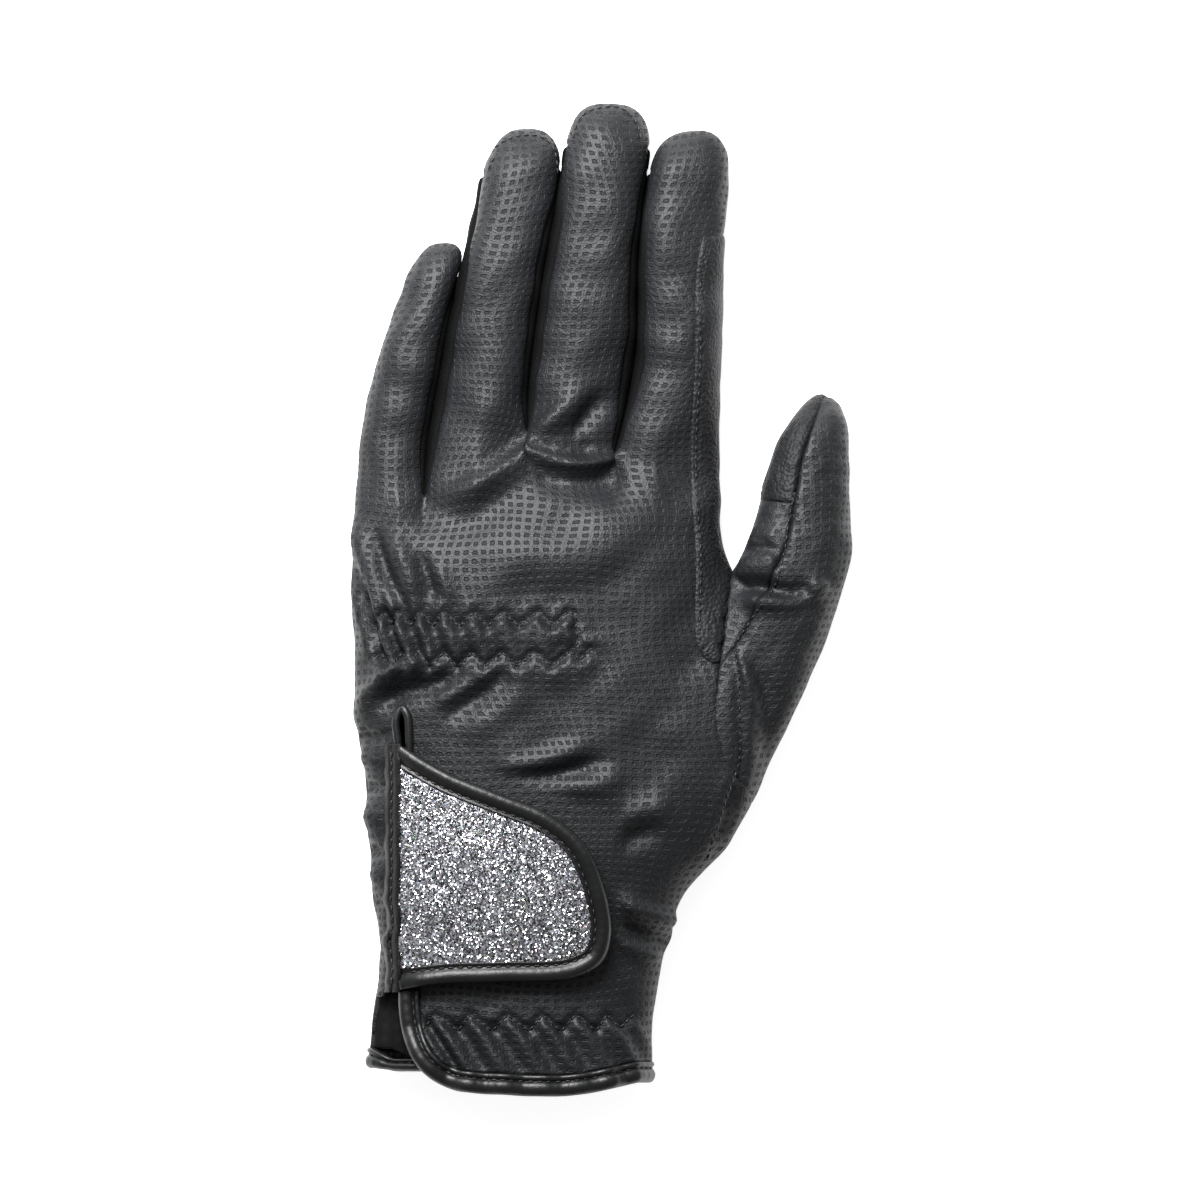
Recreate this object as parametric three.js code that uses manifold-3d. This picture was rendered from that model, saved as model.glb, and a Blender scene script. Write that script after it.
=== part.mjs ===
// A left-hand riding glove lying palm down: hollow leather panels sewn along the fingers, elastic
// gathers at the wrist, a vent slit under a closure tab with a glitter inset, and bound hems.
// Millimetres, +Z up, fingers towards +Y, thumb towards +X.
import * as THREE from 'three';
import { mergeVertices } from 'three/addons/utils/BufferGeometryUtils.js';
import Module from 'manifold-3d';

const wasm = await Module();
wasm.setup();

// Driving sizes of the glove
const HAND_LENGTH = 161; // back hem to the highest finger crotch
const HAND_WIDTH = 89;
const HAND_DEPTH = 29;
const LITTLE_REACH = 44; // fingertips beyond HAND_LENGTH
const RING_REACH = 71.6;
const MIDDLE_REACH = 77.7;
const INDEX_REACH = 71;
const LITTLE_DEPTH = 15;
const RING_DEPTH = 17;
const MIDDLE_DEPTH = 18;
const INDEX_DEPTH = 17.5;
const THUMB_LENGTH = 105.2; // root, hidden in the hand, to tip
const THUMB_WIDTH = 26;
const THUMB_DEPTH = 0.7586 * HAND_DEPTH;

// Leather, seams and clearances
const WALL = 1.2;
const SEAM_GAP = 0.3;
const FINGER_CLEARANCE = 0.5;
const PATCH_THICKNESS = 0.7;
const GUSSET_THICKNESS = 0.8;
const SEAT_GAP = 0.3;
const TAB_SEAT = 0.5; // the tab lies on the round back

// Closure tab
const TAB_LENGTH = 0.573 * HAND_WIDTH;
const TAB_HEIGHT = 0.3578 * HAND_LENGTH; // from near the hem to just below the keyhole
const TAB_BASE_THICKNESS = 1.1;
const TAB_BINDING_WIDTH = 5;
const TAB_BINDING_THICKNESS = 1;
const GLITTER_THICKNESS = 0.6;
const FASTENER_THICKNESS = 1.2;
const ANCHOR_WIDTH = 4.2;

// Bound edges
const HEM_BINDING_WIDTH = 5.8;
const HEM_BINDING_THICKNESS = 2.8;
const PIPING_DIAMETER = 1.6;

// Wrist elastic
const GATHER_DEPTH = 1.1;
const CUFF_GATHER_DEPTH = 0.8;

// Roundness of the sections, the share of the depth at which they are widest, and the seams' place
const HAND_ROUNDNESS = 2.5;
const FINGER_ROUNDNESS = 2.3;
const WIDEST_AT = 0.46;
const SEAM_ANGLE = 30;
const CROTCH_DIP_TOP = 4.2;
const CROTCH_DIP_PALM = 3.4;

// Panel meshes: columns in each finger's lane, and steps down each side
const TOP_COLUMNS = 6;
const PALM_COLUMNS = 3;
const SIDE_STEPS = 4;
const HAND_ROWS_AT = [
  0, 0.045, 0.1, 0.16, 0.22, 0.32, 0.42, 0.51, 0.585, 0.63, 0.665, 0.7, 0.74, 0.785, 0.83, 0.87,
  0.905, 0.94, 0.97, 1,
];
const TAB_COLUMNS = 3;
const TAB_ROWS_AT = [0, 0.1, 0.2, 0.32, 0.42, 0.51, 0.7, 1];
const FINGER_ROWS_AT = [0, 0.09, 0.2, 0.34, 0.5, 0.65, 0.78, 0.87, 0.935, 0.975, 1];

// Outline of the hand. up is a share of HAND_LENGTH, left and right are shares of HAND_WIDTH from
// the hand's centre line, depth is a share of HAND_DEPTH.
const HAND_SECTIONS = [
  { up: 0.0, left: -0.47, right: 0.305, depth: 0.98 },
  { up: 0.04, left: -0.466, right: 0.305, depth: 0.96 },
  { up: 0.1, left: -0.457, right: 0.303, depth: 0.92 },
  { up: 0.145, left: -0.446, right: 0.313, depth: 0.9 },
  { up: 0.18, left: -0.437, right: 0.324, depth: 0.9 },
  { up: 0.21, left: -0.433, right: 0.335, depth: 0.91 },
  { up: 0.235, left: -0.434, right: 0.354, depth: 0.93 },
  { up: 0.262, left: -0.44, right: 0.3606, depth: 0.95 },
  { up: 0.294, left: -0.453, right: 0.381, depth: 0.97 },
  { up: 0.323, left: -0.455, right: 0.412, depth: 0.98 },
  { up: 0.368, left: -0.461, right: 0.475, depth: 1.0 },
  { up: 0.41, left: -0.468, right: 0.52, depth: 1.0 },
  { up: 0.458, left: -0.47, right: 0.565, depth: 1.0 },
  { up: 0.502, left: -0.48, right: 0.564, depth: 0.99 },
  { up: 0.54, left: -0.492, right: 0.558, depth: 0.98 },
  { up: 0.565, left: -0.504, right: 0.552, depth: 0.97 },
  { up: 0.6, left: -0.503, right: 0.541, depth: 0.96 },
  { up: 0.666, left: -0.502, right: 0.5204, depth: 0.93 },
  { up: 0.741, left: -0.512, right: 0.5, depth: 0.9 },
  { up: 0.8, left: -0.509, right: 0.488, depth: 0.86 },
  { up: 0.856, left: -0.505, right: 0.479, depth: 0.8 },
  { up: 0.89, left: -0.501, right: 0.481, depth: 0.75 },
  { up: 0.926, left: -0.495, right: 0.4775, depth: 0.7 },
  { up: 1.0, left: -0.482, right: 0.474, depth: 0.62 },
];

// The lines between the fingers. Each starts at its crotch (up, side) and its rows go on from
// there: along is a share of MIDDLE_REACH, side a share of HAND_WIDTH.
const FINGER_LINES = [
  {
    up: 0.885, side: -0.5,
    rows: [
      { along: 0, side: 0 }, { along: 0.222, side: 0.017 }, { along: 0.395, side: 0.048 },
      { along: 0.568, side: 0.096 }, { along: 0.66, side: 0.126 }, { along: 0.8, side: 0.162 },
    ],
  },
  {
    up: 0.897, side: -0.3128,
    rows: [
      { along: 0, side: 0 }, { along: 0.167, side: 0.011 }, { along: 0.345, side: 0.038 },
      { along: 0.552, side: 0.07 }, { along: 0.719, side: 0.103 }, { along: 0.885, side: 0.135 },
      { along: 1.15, side: 0.18 },
    ],
  },
  {
    up: 0.99, side: -0.0337,
    rows: [
      { along: 0, side: 0 }, { along: 0.1635, side: 0.004 }, { along: 0.33, side: 0.023 },
      { along: 0.497, side: 0.044 }, { along: 0.66, side: 0.0695 }, { along: 0.833, side: 0.092 },
      { along: 1.0, side: 0.108 },
    ],
  },
  {
    up: 0.957, side: 0.1995,
    rows: [
      { along: 0, side: 0 }, { along: 0.083, side: 0.019 }, { along: 0.167, side: 0.036 },
      { along: 0.33, side: 0.059 }, { along: 0.58, side: 0.064 }, { along: 0.743, side: 0.074 },
      { along: 0.916, side: 0.096 }, { along: 1.09, side: 0.112 },
    ],
  },
  {
    up: 0.926, side: 0.4775,
    rows: [
      { along: 0, side: 0 }, { along: 0.188, side: 0 }, { along: 0.478, side: 0.008 },
      { along: 0.694, side: 0.012 }, { along: 0.8, side: 0.026 }, { along: 0.9, side: 0.032 },
      { along: 1.07, side: 0.036 },
    ],
  },
];

// Fingers from little to index. tip is the fingertip's place across the hand as a share of
// HAND_WIDTH, round the length of its rounded end as a share of HAND_WIDTH.
const FINGERS = [
  { reach: LITTLE_REACH, depth: LITTLE_DEPTH, tip: -0.262, round: 0.11 },
  { reach: RING_REACH, depth: RING_DEPTH, tip: -0.036, round: 0.14 },
  { reach: MIDDLE_REACH, depth: MIDDLE_DEPTH, tip: 0.184, round: 0.14 },
  { reach: INDEX_REACH, depth: INDEX_DEPTH, tip: 0.413, round: 0.125 },
];
const FINGER_DEPTHS = [
  { along: 0, depth: 1.02 },
  { along: 0.3, depth: 1 },
  { along: 0.6, depth: 0.98 },
  { along: 0.85, depth: 0.86 },
  { along: 1, depth: 0.72 },
];

// The back's hem line, as a share of HAND_LENGTH at each finger's lane edge, and the palm's
const BACK_HEM = [0.074, 0.043, 0.034, 0.034, 0.053];
const PALM_HEM = [0.074, 0.066, 0.058, 0.052, 0.053];

// The thumb from its root inside the hand to its tip. side and up are shares of HAND_WIDTH and
// HAND_LENGTH, width of THUMB_WIDTH, depth and middle (height above the table) of THUMB_DEPTH.
// seam is the angle of the upper seam, in degrees from the thumb's outer side.
const THUMB_SECTIONS = [
  { side: 0.38, up: 0.438, width: 0.95, depth: 0.76, middle: 0.64, seam: 140 },
  { side: 0.495, up: 0.54, width: 0.955, depth: 0.86, middle: 0.62, seam: 137 },
  { side: 0.587, up: 0.6275, width: 0.915, depth: 0.93, middle: 0.58, seam: 130 },
  { side: 0.642, up: 0.7095, width: 0.945, depth: 0.98, middle: 0.56, seam: 117 },
  { side: 0.681, up: 0.781, width: 0.975, depth: 0.99, middle: 0.55, seam: 106 },
  { side: 0.702, up: 0.817, width: 0.955, depth: 0.97, middle: 0.53, seam: 104 },
  { side: 0.714, up: 0.8728, width: 0.84, depth: 0.9, middle: 0.5, seam: 102 },
  { side: 0.733, up: 0.9473, width: 0.7, depth: 0.8, middle: 0.45, seam: 102 },
  { side: 0.7515, up: 0.985, width: 0.57, depth: 0.7, middle: 0.41, seam: 104 },
  { side: 0.763, up: 1.009, width: 0.46, depth: 0.58, middle: 0.36, seam: 106 },
  { side: 0.77, up: 1.027, width: 0.34, depth: 0.43, middle: 0.31, seam: 108 },
  { side: 0.774, up: 1.039, width: 0.22, depth: 0.27, middle: 0.28, seam: 110 },
  { side: 0.7765, up: 1.045, width: 0.1, depth: 0.12, middle: 0.27, seam: 110 },
];
const THUMB_PALM_SEAM = -95; // degrees
const THUMB_ROWS_AT = [
  0, 0.11, 0.21, 0.3, 0.38, 0.46, 0.54, 0.61, 0.68, 0.75, 0.82, 0.88, 0.93, 0.965, 0.985, 1,
];
const THUMB_OUTER_COLUMNS = 8;
const THUMB_INNER_COLUMNS = 6;
const THUMB_PATCH_FROM = 0.74; // share of the thumb's length where the fingertip patch starts

// Folds on the back. side and up are shares of HAND_WIDTH and HAND_LENGTH; width and height are
// shares of HAND_DEPTH, and a negative height is a valley.
const FOLDS = [
  {
    width: 0.13, height: 0.05,
    path: [[-0.33, 0.885], [-0.22, 0.915], [-0.12, 0.945], [-0.04, 0.965]],
  },
  {
    width: 0.15, height: -0.06,
    path: [[-0.27, 0.83], [-0.16, 0.86], [-0.05, 0.905], [0.04, 0.935]],
  },
  {
    width: 0.12, height: 0.04,
    path: [[-0.04, 0.955], [0.05, 0.945], [0.13, 0.942], [0.21, 0.955]],
  },
  {
    width: 0.13, height: -0.06,
    path: [[0.02, 0.925], [0.09, 0.917], [0.17, 0.92], [0.21, 0.935]],
  },
  {
    width: 0.11, height: 0.045,
    path: [[-0.45, 0.575], [-0.43, 0.6], [-0.39, 0.63], [-0.32, 0.648]],
  },
  {
    width: 0.13, height: -0.06,
    path: [[-0.41, 0.6], [-0.3, 0.617], [-0.2, 0.628], [-0.09, 0.64]],
  },
  {
    width: 0.13, height: -0.05,
    path: [[-0.27, 0.565], [-0.18, 0.59], [-0.06, 0.625]],
  },
  {
    width: 0.11, height: 0.035,
    path: [[-0.1, 0.475], [0.02, 0.492], [0.1, 0.505], [0.2, 0.517]],
  },
  {
    width: 0.11, height: -0.055,
    path: [[-0.12, 0.458], [0.0, 0.47], [0.08, 0.482], [0.19, 0.497]],
  },
  {
    width: 0.13, height: -0.05,
    path: [[0.13, 0.37], [0.22, 0.383], [0.33, 0.4]],
  },
];

// The elastic bands: ribs along the lanes between low and high, from lane to lane, fading beyond
const RIBS_PER_LANE = 3;
const GATHERS = [
  { low: 0.655, high: 0.722, fadeLow: 0.04, fadeHigh: 0.1, from: -1, to: 2.65, depth: GATHER_DEPTH },
  { low: 0.065, high: 0.1, fadeLow: 0.02, fadeHigh: 0.05, from: 0.9, to: 5, depth: CUFF_GATHER_DEPTH },
];

// The vent in the back, as side and up shares: a keyhole at the top, the slit, and the cut-away
// that bares the gusset down to the hem. overcuff is its right edge, keyhole to rounded corner.
const KEYHOLE = [
  [-0.351, 0.53], [-0.353, 0.556], [-0.357, 0.57], [-0.368, 0.578], [-0.38, 0.572],
  [-0.387, 0.558], [-0.381, 0.53],
];
const SLIT_LEFT = [[-0.378, 0.2], [-0.4, 0.165], [-0.43, 0.15], [-0.56, 0.15], [-0.56, -0.05]];
const OVERCUFF = [
  [-0.351, 0.53], [-0.345, 0.35], [-0.336, 0.22], [-0.326, 0.167], [-0.324, 0.13], [-0.313, 0.095],
  [-0.292, 0.068], [-0.265, 0.053], [-0.235, 0.0438],
];

// The tab's outline from its top left corner round its nose to the bottom left, as shares of
// TAB_LENGTH and TAB_HEIGHT from TAB_CORNER, itself side and up shares of the hand
const TAB_CORNER = { side: -0.3775, up: 0.167 };
const TAB_EDGE = [
  [0, 1], [0.222, 0.8875], [0.475, 0.796], [0.703, 0.7125], [0.867, 0.592], [0.955, 0.4225],
  [0.995, 0.229], [0.955, 0.1], [0.825, 0.03], [0.472, 0.01], [0.222, 0.004], [0, -0.02],
];
const FASTENER = { left: 0.3, right: 0.8, low: 0.18, high: 0.62 }; // shares of the tab

// The reinforcement on the index side: its left edge from the fingertip down, then its round end
const INDEX_PATCH_EDGE = [
  [0.439, 1.284], [0.421, 1.23], [0.418, 1.1], [0.407, 0.98], [0.408, 0.9], [0.42, 0.81],
  [0.418, 0.69], [0.425, 0.668], [0.442, 0.654], [0.472, 0.645], [0.508, 0.643],
];
const INDEX_PATCH_LOW = 0.14; // share of HAND_DEPTH down to which it wraps the side

const GUSSET = { left: -0.48, right: -0.29, low: 0.02, high: 0.5 }; // side and up shares

const rad = THREE.MathUtils.degToRad;
const { clamp, lerp, smoothstep } = THREE.MathUtils;

// A smooth curve through a table's column, by Catmull-Rom through its rows
function sample(rows, key, at, column) {
  const last = rows.length - 1;
  if (at <= rows[0][key]) return rows[0][column];
  if (at >= rows[last][key]) return rows[last][column];
  const i = rows.findIndex((row, n) => n < last && at <= rows[n + 1][key]);
  const [a, b] = [rows[i], rows[i + 1]];
  const span = b[key] - a[key];
  const slope = (n) => {
    if (n <= 0 || n >= last) return (b[column] - a[column]) / span;
    return (rows[n + 1][column] - rows[n - 1][column]) / (rows[n + 1][key] - rows[n - 1][key]);
  };
  const t = (at - a[key]) / span;
  const [m0, m1] = [slope(i) * span, slope(i + 1) * span];
  const t2 = t * t;
  const t3 = t2 * t;
  return (2 * t3 - 3 * t2 + 1) * a[column] + (t3 - 2 * t2 + t) * m0
    + (3 * t2 - 2 * t3) * b[column] + (t3 - t2) * m1;
}

const place = ([side, up]) => [side * HAND_WIDTH, up * HAND_LENGTH];

// The hand's left and right outlines and its depth at a height y up the glove
const handEdge = (y, column) => sample(HAND_SECTIONS, 'up', y / HAND_LENGTH, column) * HAND_WIDTH;
const handDepth = (y) => sample(HAND_SECTIONS, 'up', y / HAND_LENGTH, 'depth') * HAND_DEPTH;

// Line n between the fingers, at height y
function fingerLine(n, y) {
  const line = FINGER_LINES[n];
  const along = (y - line.up * HAND_LENGTH) / MIDDLE_REACH;
  return (line.side + sample(line.rows, 'along', along, 'side')) * HAND_WIDTH;
}

const crotchHeight = (lane) => {
  const rows = FINGER_LINES.map((line, n) => ({ n, up: line.up }));
  return sample(rows, 'n', lane, 'up') * HAND_LENGTH;
};
const hemHeight = (hem, lane) => {
  const rows = hem.map((up, n) => ({ n, up }));
  return sample(rows, 'n', lane, 'up') * HAND_LENGTH;
};

// Superellipse: the share across and the share up at an angle
const across = (angle, n) => Math.sign(Math.cos(angle)) * Math.abs(Math.cos(angle)) ** (2 / n);
const above = (angle, n) => Math.sign(Math.sin(angle)) * Math.abs(Math.sin(angle)) ** (2 / n);
const archHeight = (u, n) => (1 - Math.min(1, Math.abs(u)) ** n) ** (1 / n);

// A section stands on the table: its lower half is a little deeper than its middle is high, and
// the table flattens it. At the hem the leather rises by its binding's ridge.
const SQUASH = 1.1;
const hemRidge = (HEM_BINDING_THICKNESS - WALL) / 2;
const handFloor = (y) => hemRidge * (1 - smoothstep(y / HAND_LENGTH, 0.06, 0.15));
const lift = (depth, share, floor) => {
  const middle = depth * WIDEST_AT;
  return Math.max(floor, middle + share * (share > 0 ? depth - middle : middle * SQUASH));
};

// Lanes 0 to 4 run across the hand, one for each finger; u is the share across the section
const LANE_EDGE = across(rad(SEAM_ANGLE), HAND_ROUNDNESS);
function laneShare(lane, row) {
  const even = lerp(-LANE_EDGE, LANE_EDGE, lane / 4);
  const low = Math.min(3, Math.floor(lane));
  const edgeShare = (n) => {
    if (n === 0) return -LANE_EDGE;
    if (n === 4) return LANE_EDGE;
    const y = crotchHeight(n);
    const [left, right] = [handEdge(y, 'left'), handEdge(y, 'right')];
    return (2 * (fingerLine(n, y) - left)) / (right - left) - 1;
  };
  const fan = lerp(edgeShare(low), edgeShare(low + 1), lane - low);
  return lerp(even, fan, smoothstep(row, 0.25, 1));
}

// How deep the valley between two fingers is, on the hand just below their crotch
function valley(lane, row, dip) {
  const nearest = clamp(Math.round(lane), 1, 3);
  const away = Math.min(1, Math.abs(lane - nearest) * 2);
  return dip * (1 - away ** 0.9) * smoothstep(row, 0.86, 1) ** 1.5;
}

function handPoint(lane, row, onBack) {
  const hem = hemHeight(onBack ? BACK_HEM : PALM_HEM, lane);
  const y = lerp(hem, crotchHeight(lane), row);
  const [left, right, depth] = [handEdge(y, 'left'), handEdge(y, 'right'), handDepth(y)];
  const u = laneShare(lane, row);
  const share = archHeight(u, HAND_ROUNDNESS) * (onBack ? 1 : -1);
  const dip = valley(lane, row, onBack ? -CROTCH_DIP_TOP : CROTCH_DIP_PALM);
  const z = lift(depth, share, handFloor(y)) + dip;
  return new THREE.Vector3((left + right) / 2 + ((right - left) / 2) * u, y, z);
}

// A point on the hand's side, at an angle from the seam on the back (+) to that on the palm (-)
function handSide(right, angle, row) {
  const lane = right ? 4 : 0;
  const turn = (1 - angle / SEAM_ANGLE) / 2;
  const hem = lerp(hemHeight(BACK_HEM, lane), hemHeight(PALM_HEM, lane), turn);
  const y = lerp(hem, crotchHeight(lane), row);
  const [a, b] = [handEdge(y, 'left'), handEdge(y, 'right')];
  const u = across(rad(angle), HAND_ROUNDNESS) * (right ? 1 : -1);
  const z = lift(handDepth(y), above(rad(angle), HAND_ROUNDNESS), handFloor(y));
  return new THREE.Vector3((a + b) / 2 + ((b - a) / 2) * u, y, z);
}

const steps = (count) => Array.from({ length: count + 1 }, (_, i) => i / count);
const sideAngles = (seam) => steps(SIDE_STEPS).map((t) => seam * (1 - 2 * t));

// The finger's seams close in on its middle towards the tip, where back meets palm
const FOURCHETTE_END = 0.87;
const seamAngle = (along) => SEAM_ANGLE * (1 - 0.7 * smoothstep(along, 0.6, FOURCHETTE_END));

// A finger's tube at a share of its length
function tubePoint(finger, along, angle, y) {
  const { reach, depth, tip, round } = FINGERS[finger];
  const half = FINGER_CLEARANCE / 2;
  const left = fingerLine(finger, y) + (finger > 0 ? half : 0);
  const right = fingerLine(finger + 1, y) - (finger < 3 ? half : 0);
  const end = HAND_LENGTH + reach;
  const past = clamp((y - end) / (round * HAND_WIDTH) + 1, 0, 1);
  const narrowing = (1 - past ** 2.6) ** (1 / 2.6);
  const thinning = (1 - past ** 2) ** 0.5;
  const middle = lerp((left + right) / 2, tip * HAND_WIDTH, past ** 2);
  const x = middle + ((right - left) / 2) * narrowing * across(angle, FINGER_ROUNDNESS);
  const full = depth * sample(FINGER_DEPTHS, 'along', along, 'depth');
  const share = above(angle, FINGER_ROUNDNESS);
  const centre = full * WIDEST_AT;
  const z = centre + share * thinning * (share > 0 ? full - centre : centre * SQUASH);
  return new THREE.Vector3(x, y, Math.max(0, z));
}

// A finger's ring grows out of the hand's last row and turns into a tube within this share
const ROOT_BLEND = 0.3;
function ringPoint(finger, along, root, angle) {
  const end = HAND_LENGTH + FINGERS[finger].reach;
  const y = lerp(root.y, end, along);
  const open = 1 - (1 - Math.min(1, along / ROOT_BLEND)) ** 2;
  const tube = tubePoint(finger, along, angle, y);
  const grown = new THREE.Vector3(root.x, y, root.z);
  const drift = (line) => fingerLine(line, y) - fingerLine(line, root.y);
  const [from, to] = [fingerLine(finger, root.y), fingerLine(finger + 1, root.y)];
  const t = clamp((root.x - from) / (to - from), 0, 1);
  grown.x += lerp(drift(finger), drift(finger + 1), t);
  return grown.lerp(tube, open);
}

// The glove's skin: a list of points, and triangles with the panel that each belongs to
class Skin {
  constructor() {
    this.points = [];
    this.lanes = [];
    this.triangles = [];
    this.index = new Map();
  }

  add(point, lane) {
    const key = point.toArray().map((n) => Math.round(n * 1e4)).join();
    if (!this.index.has(key)) {
      this.index.set(key, this.points.length);
      this.points.push(point.clone());
      this.lanes.push(lane);
    }
    return this.index.get(key);
  }

  quad(a, b, c, d, panel) {
    const short = this.points[a].distanceTo(this.points[c]) < this.points[b].distanceTo(this.points[d]);
    const halves = short ? [[a, b, c], [a, c, d]] : [[a, b, d], [b, c, d]];
    for (const corners of halves) {
      if (new Set(corners).size === 3) this.triangles.push({ corners, panel });
    }
  }

  normals() {
    const normals = this.points.map(() => new THREE.Vector3());
    for (const { corners } of this.triangles) {
      const [a, b, c] = corners.map((n) => this.points[n]);
      const facing = new THREE.Vector3().crossVectors(b.clone().sub(a), c.clone().sub(a)).normalize();
      corners.forEach((n, i) => {
        const to = [1, 2].map((step) => this.points[corners[(i + step) % 3]].clone().sub(this.points[n]));
        normals[n].addScaledVector(facing, to[0].angleTo(to[1]));
      });
    }
    return normals.map((n) => n.normalize());
  }
}

const sideWall = (inner, number, row) => (
  inner && FINGER_ROWS_AT[row] < FOURCHETTE_END ? `fourchette_${number}` : undefined
);

// The loop round the hand at a row, then each finger's rings, row by row
function buildHand(columns, rows) {
  const skin = new Skin();
  const backLanes = FINGERS.map((_, lane) => steps(columns).map((t) => lane + t));
  const palmLanes = FINGERS.map((_, lane) => steps(PALM_COLUMNS).map((t) => 4 - lane - t));
  const sides = sideAngles(SEAM_ANGLE);

  // Each run is a strip of columns with one panel
  const runs = [
    ...backLanes.map((lanes) => ({
      panel: () => 'back',
      at: (row) => lanes.map((lane) => skin.add(handPoint(lane, row, true), lane)),
    })),
    {
      panel: (i) => (i < SIDE_STEPS / 2 ? 'back' : 'palm'),
      at: (row) => sides.map((angle) => skin.add(handSide(true, angle, row))),
    },
    ...palmLanes.map((lanes) => ({
      panel: () => 'palm',
      at: (row) => lanes.map((lane) => skin.add(handPoint(lane, row, false))),
    })),
    {
      panel: (i) => (i < SIDE_STEPS / 2 ? 'palm' : 'back'),
      at: (row) => sides.map((angle) => skin.add(handSide(false, -angle, row))),
    },
  ];
  for (const run of runs) stitch(skin, rows.map(run.at), run.panel);

  FINGERS.forEach((_, finger) => {
    const back = backLanes[finger];
    const palm = palmLanes[3 - finger];
    const edge = (side, angle) => {
      // Outer sides go on from the hand's side; inner ones start as the straight web
      const outer = (side === 'right' && finger === 3) || (side === 'left' && finger === 0);
      if (outer) return handSide(side === 'right', angle, 1);
      const lane = side === 'right' ? finger + 1 : finger;
      const [top, low] = [handPoint(lane, 1, true), handPoint(lane, 1, false)];
      return top.lerp(low, (1 - angle / SEAM_ANGLE) / 2);
    };
    const strips = [
      {
        roots: back.map((s) => handPoint(s, 1, true)),
        angle: (t, seam) => lerp(180 - seam, seam, t),
        panel: () => 'back',
      },
      {
        roots: sides.map((angle) => edge('right', angle)),
        angle: (t, seam) => lerp(seam, -seam, t),
        panel: (i, k) => sideWall(finger < 3, finger + 1, k) ?? (i < SIDE_STEPS / 2 ? 'back' : 'palm'),
      },
      {
        roots: palm.map((s) => handPoint(s, 1, false)),
        angle: (t, seam) => lerp(-seam, seam - 180, t),
        panel: () => 'palm',
      },
      {
        roots: sides.map((angle) => edge('left', -angle)),
        angle: (t, seam) => lerp(180 + seam, 180 - seam, t),
        panel: (i, k) => sideWall(finger > 0, finger, k) ?? (i < SIDE_STEPS / 2 ? 'palm' : 'back'),
      },
    ];
    for (const strip of strips) {
      const rings = FINGER_ROWS_AT.map((along) => strip.roots.map((root, i) => {
        const angle = rad(strip.angle(i / (strip.roots.length - 1), seamAngle(along)));
        return skin.add(ringPoint(finger, along, root, angle));
      }));
      stitch(skin, rings, strip.panel);
    }
  });
  return skin;
}

function stitch(skin, rings, panel) {
  for (let k = 0; k < rings.length - 1; k++) {
    for (let i = 0; i < rings[k].length - 1; i++) {
      skin.quad(rings[k][i], rings[k][i + 1], rings[k + 1][i + 1], rings[k + 1][i], panel(i, k));
    }
  }
}

// Height of the folds and gathers above the smooth back at a place
function distanceAlong(path, x, y) {
  let best = { distance: Infinity, share: 0 };
  for (let i = 0; i < path.length - 1; i++) {
    const [[ax, ay], [bx, by]] = [path[i], path[i + 1]];
    const [dx, dy] = [bx - ax, by - ay];
    const t = clamp(((x - ax) * dx + (y - ay) * dy) / (dx * dx + dy * dy), 0, 1);
    const distance = Math.hypot(x - ax - t * dx, y - ay - t * dy);
    if (distance < best.distance) best = { distance, share: (i + t) / (path.length - 1) };
  }
  return best;
}

function foldHeight({ width, height, path }, x, y) {
  const { distance, share } = distanceAlong(path.map(place), x, y);
  const fade = smoothstep(share, 0, 0.25) * (1 - smoothstep(share, 0.75, 1));
  const near = distance / (width * HAND_DEPTH);
  return height * HAND_DEPTH * Math.exp(-near * near) * fade;
}

function gatherHeight(band, lane, y) {
  const up = y / HAND_LENGTH;
  const along = smoothstep(up, band.low - band.fadeLow, band.low)
    * (1 - smoothstep(up, band.high, band.high + band.fadeHigh));
  const sideways = smoothstep(lane, band.from, band.from + 0.2)
    * (1 - smoothstep(lane, band.to - 0.2, band.to));
  const rib = 0.5 * Math.cos(2 * Math.PI * RIBS_PER_LANE * lane) - 0.3;
  return band.depth * rib * along * sideways;
}

function underTab(x, y) {
  const [cx, cy] = place([TAB_CORNER.side, TAB_CORNER.up]);
  const [along, up] = [(x - cx) / TAB_LENGTH, (y - cy) / TAB_HEIGHT];
  const outside = Math.max(-0.2 - along, along - 1, -0.02 - up, up - lerp(1, 0.7, clamp(along, 0, 1)));
  return 1 - smoothstep(outside, 0, 0.12);
}

function relief({ x, y }, lane) {
  const folds = FOLDS.reduce((sum, fold) => sum + foldHeight(fold, x, y), 0);
  const bands = lane === undefined ? [] : GATHERS;
  const gathers = bands.reduce((sum, band) => sum + gatherHeight(band, lane, y), 0);
  return (folds + gathers) * (1 - underTab(x, y));
}

// Moves the skin's back along its normals by the relief
function crease(skin) {
  const normals = skin.normals();
  skin.points.forEach((point, n) => {
    const facing = smoothstep(normals[n].z, 0.1, 0.6);
    if (facing > 0) point.addScaledVector(normals[n], relief(point, skin.lanes[n]) * facing);
  });
}

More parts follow.
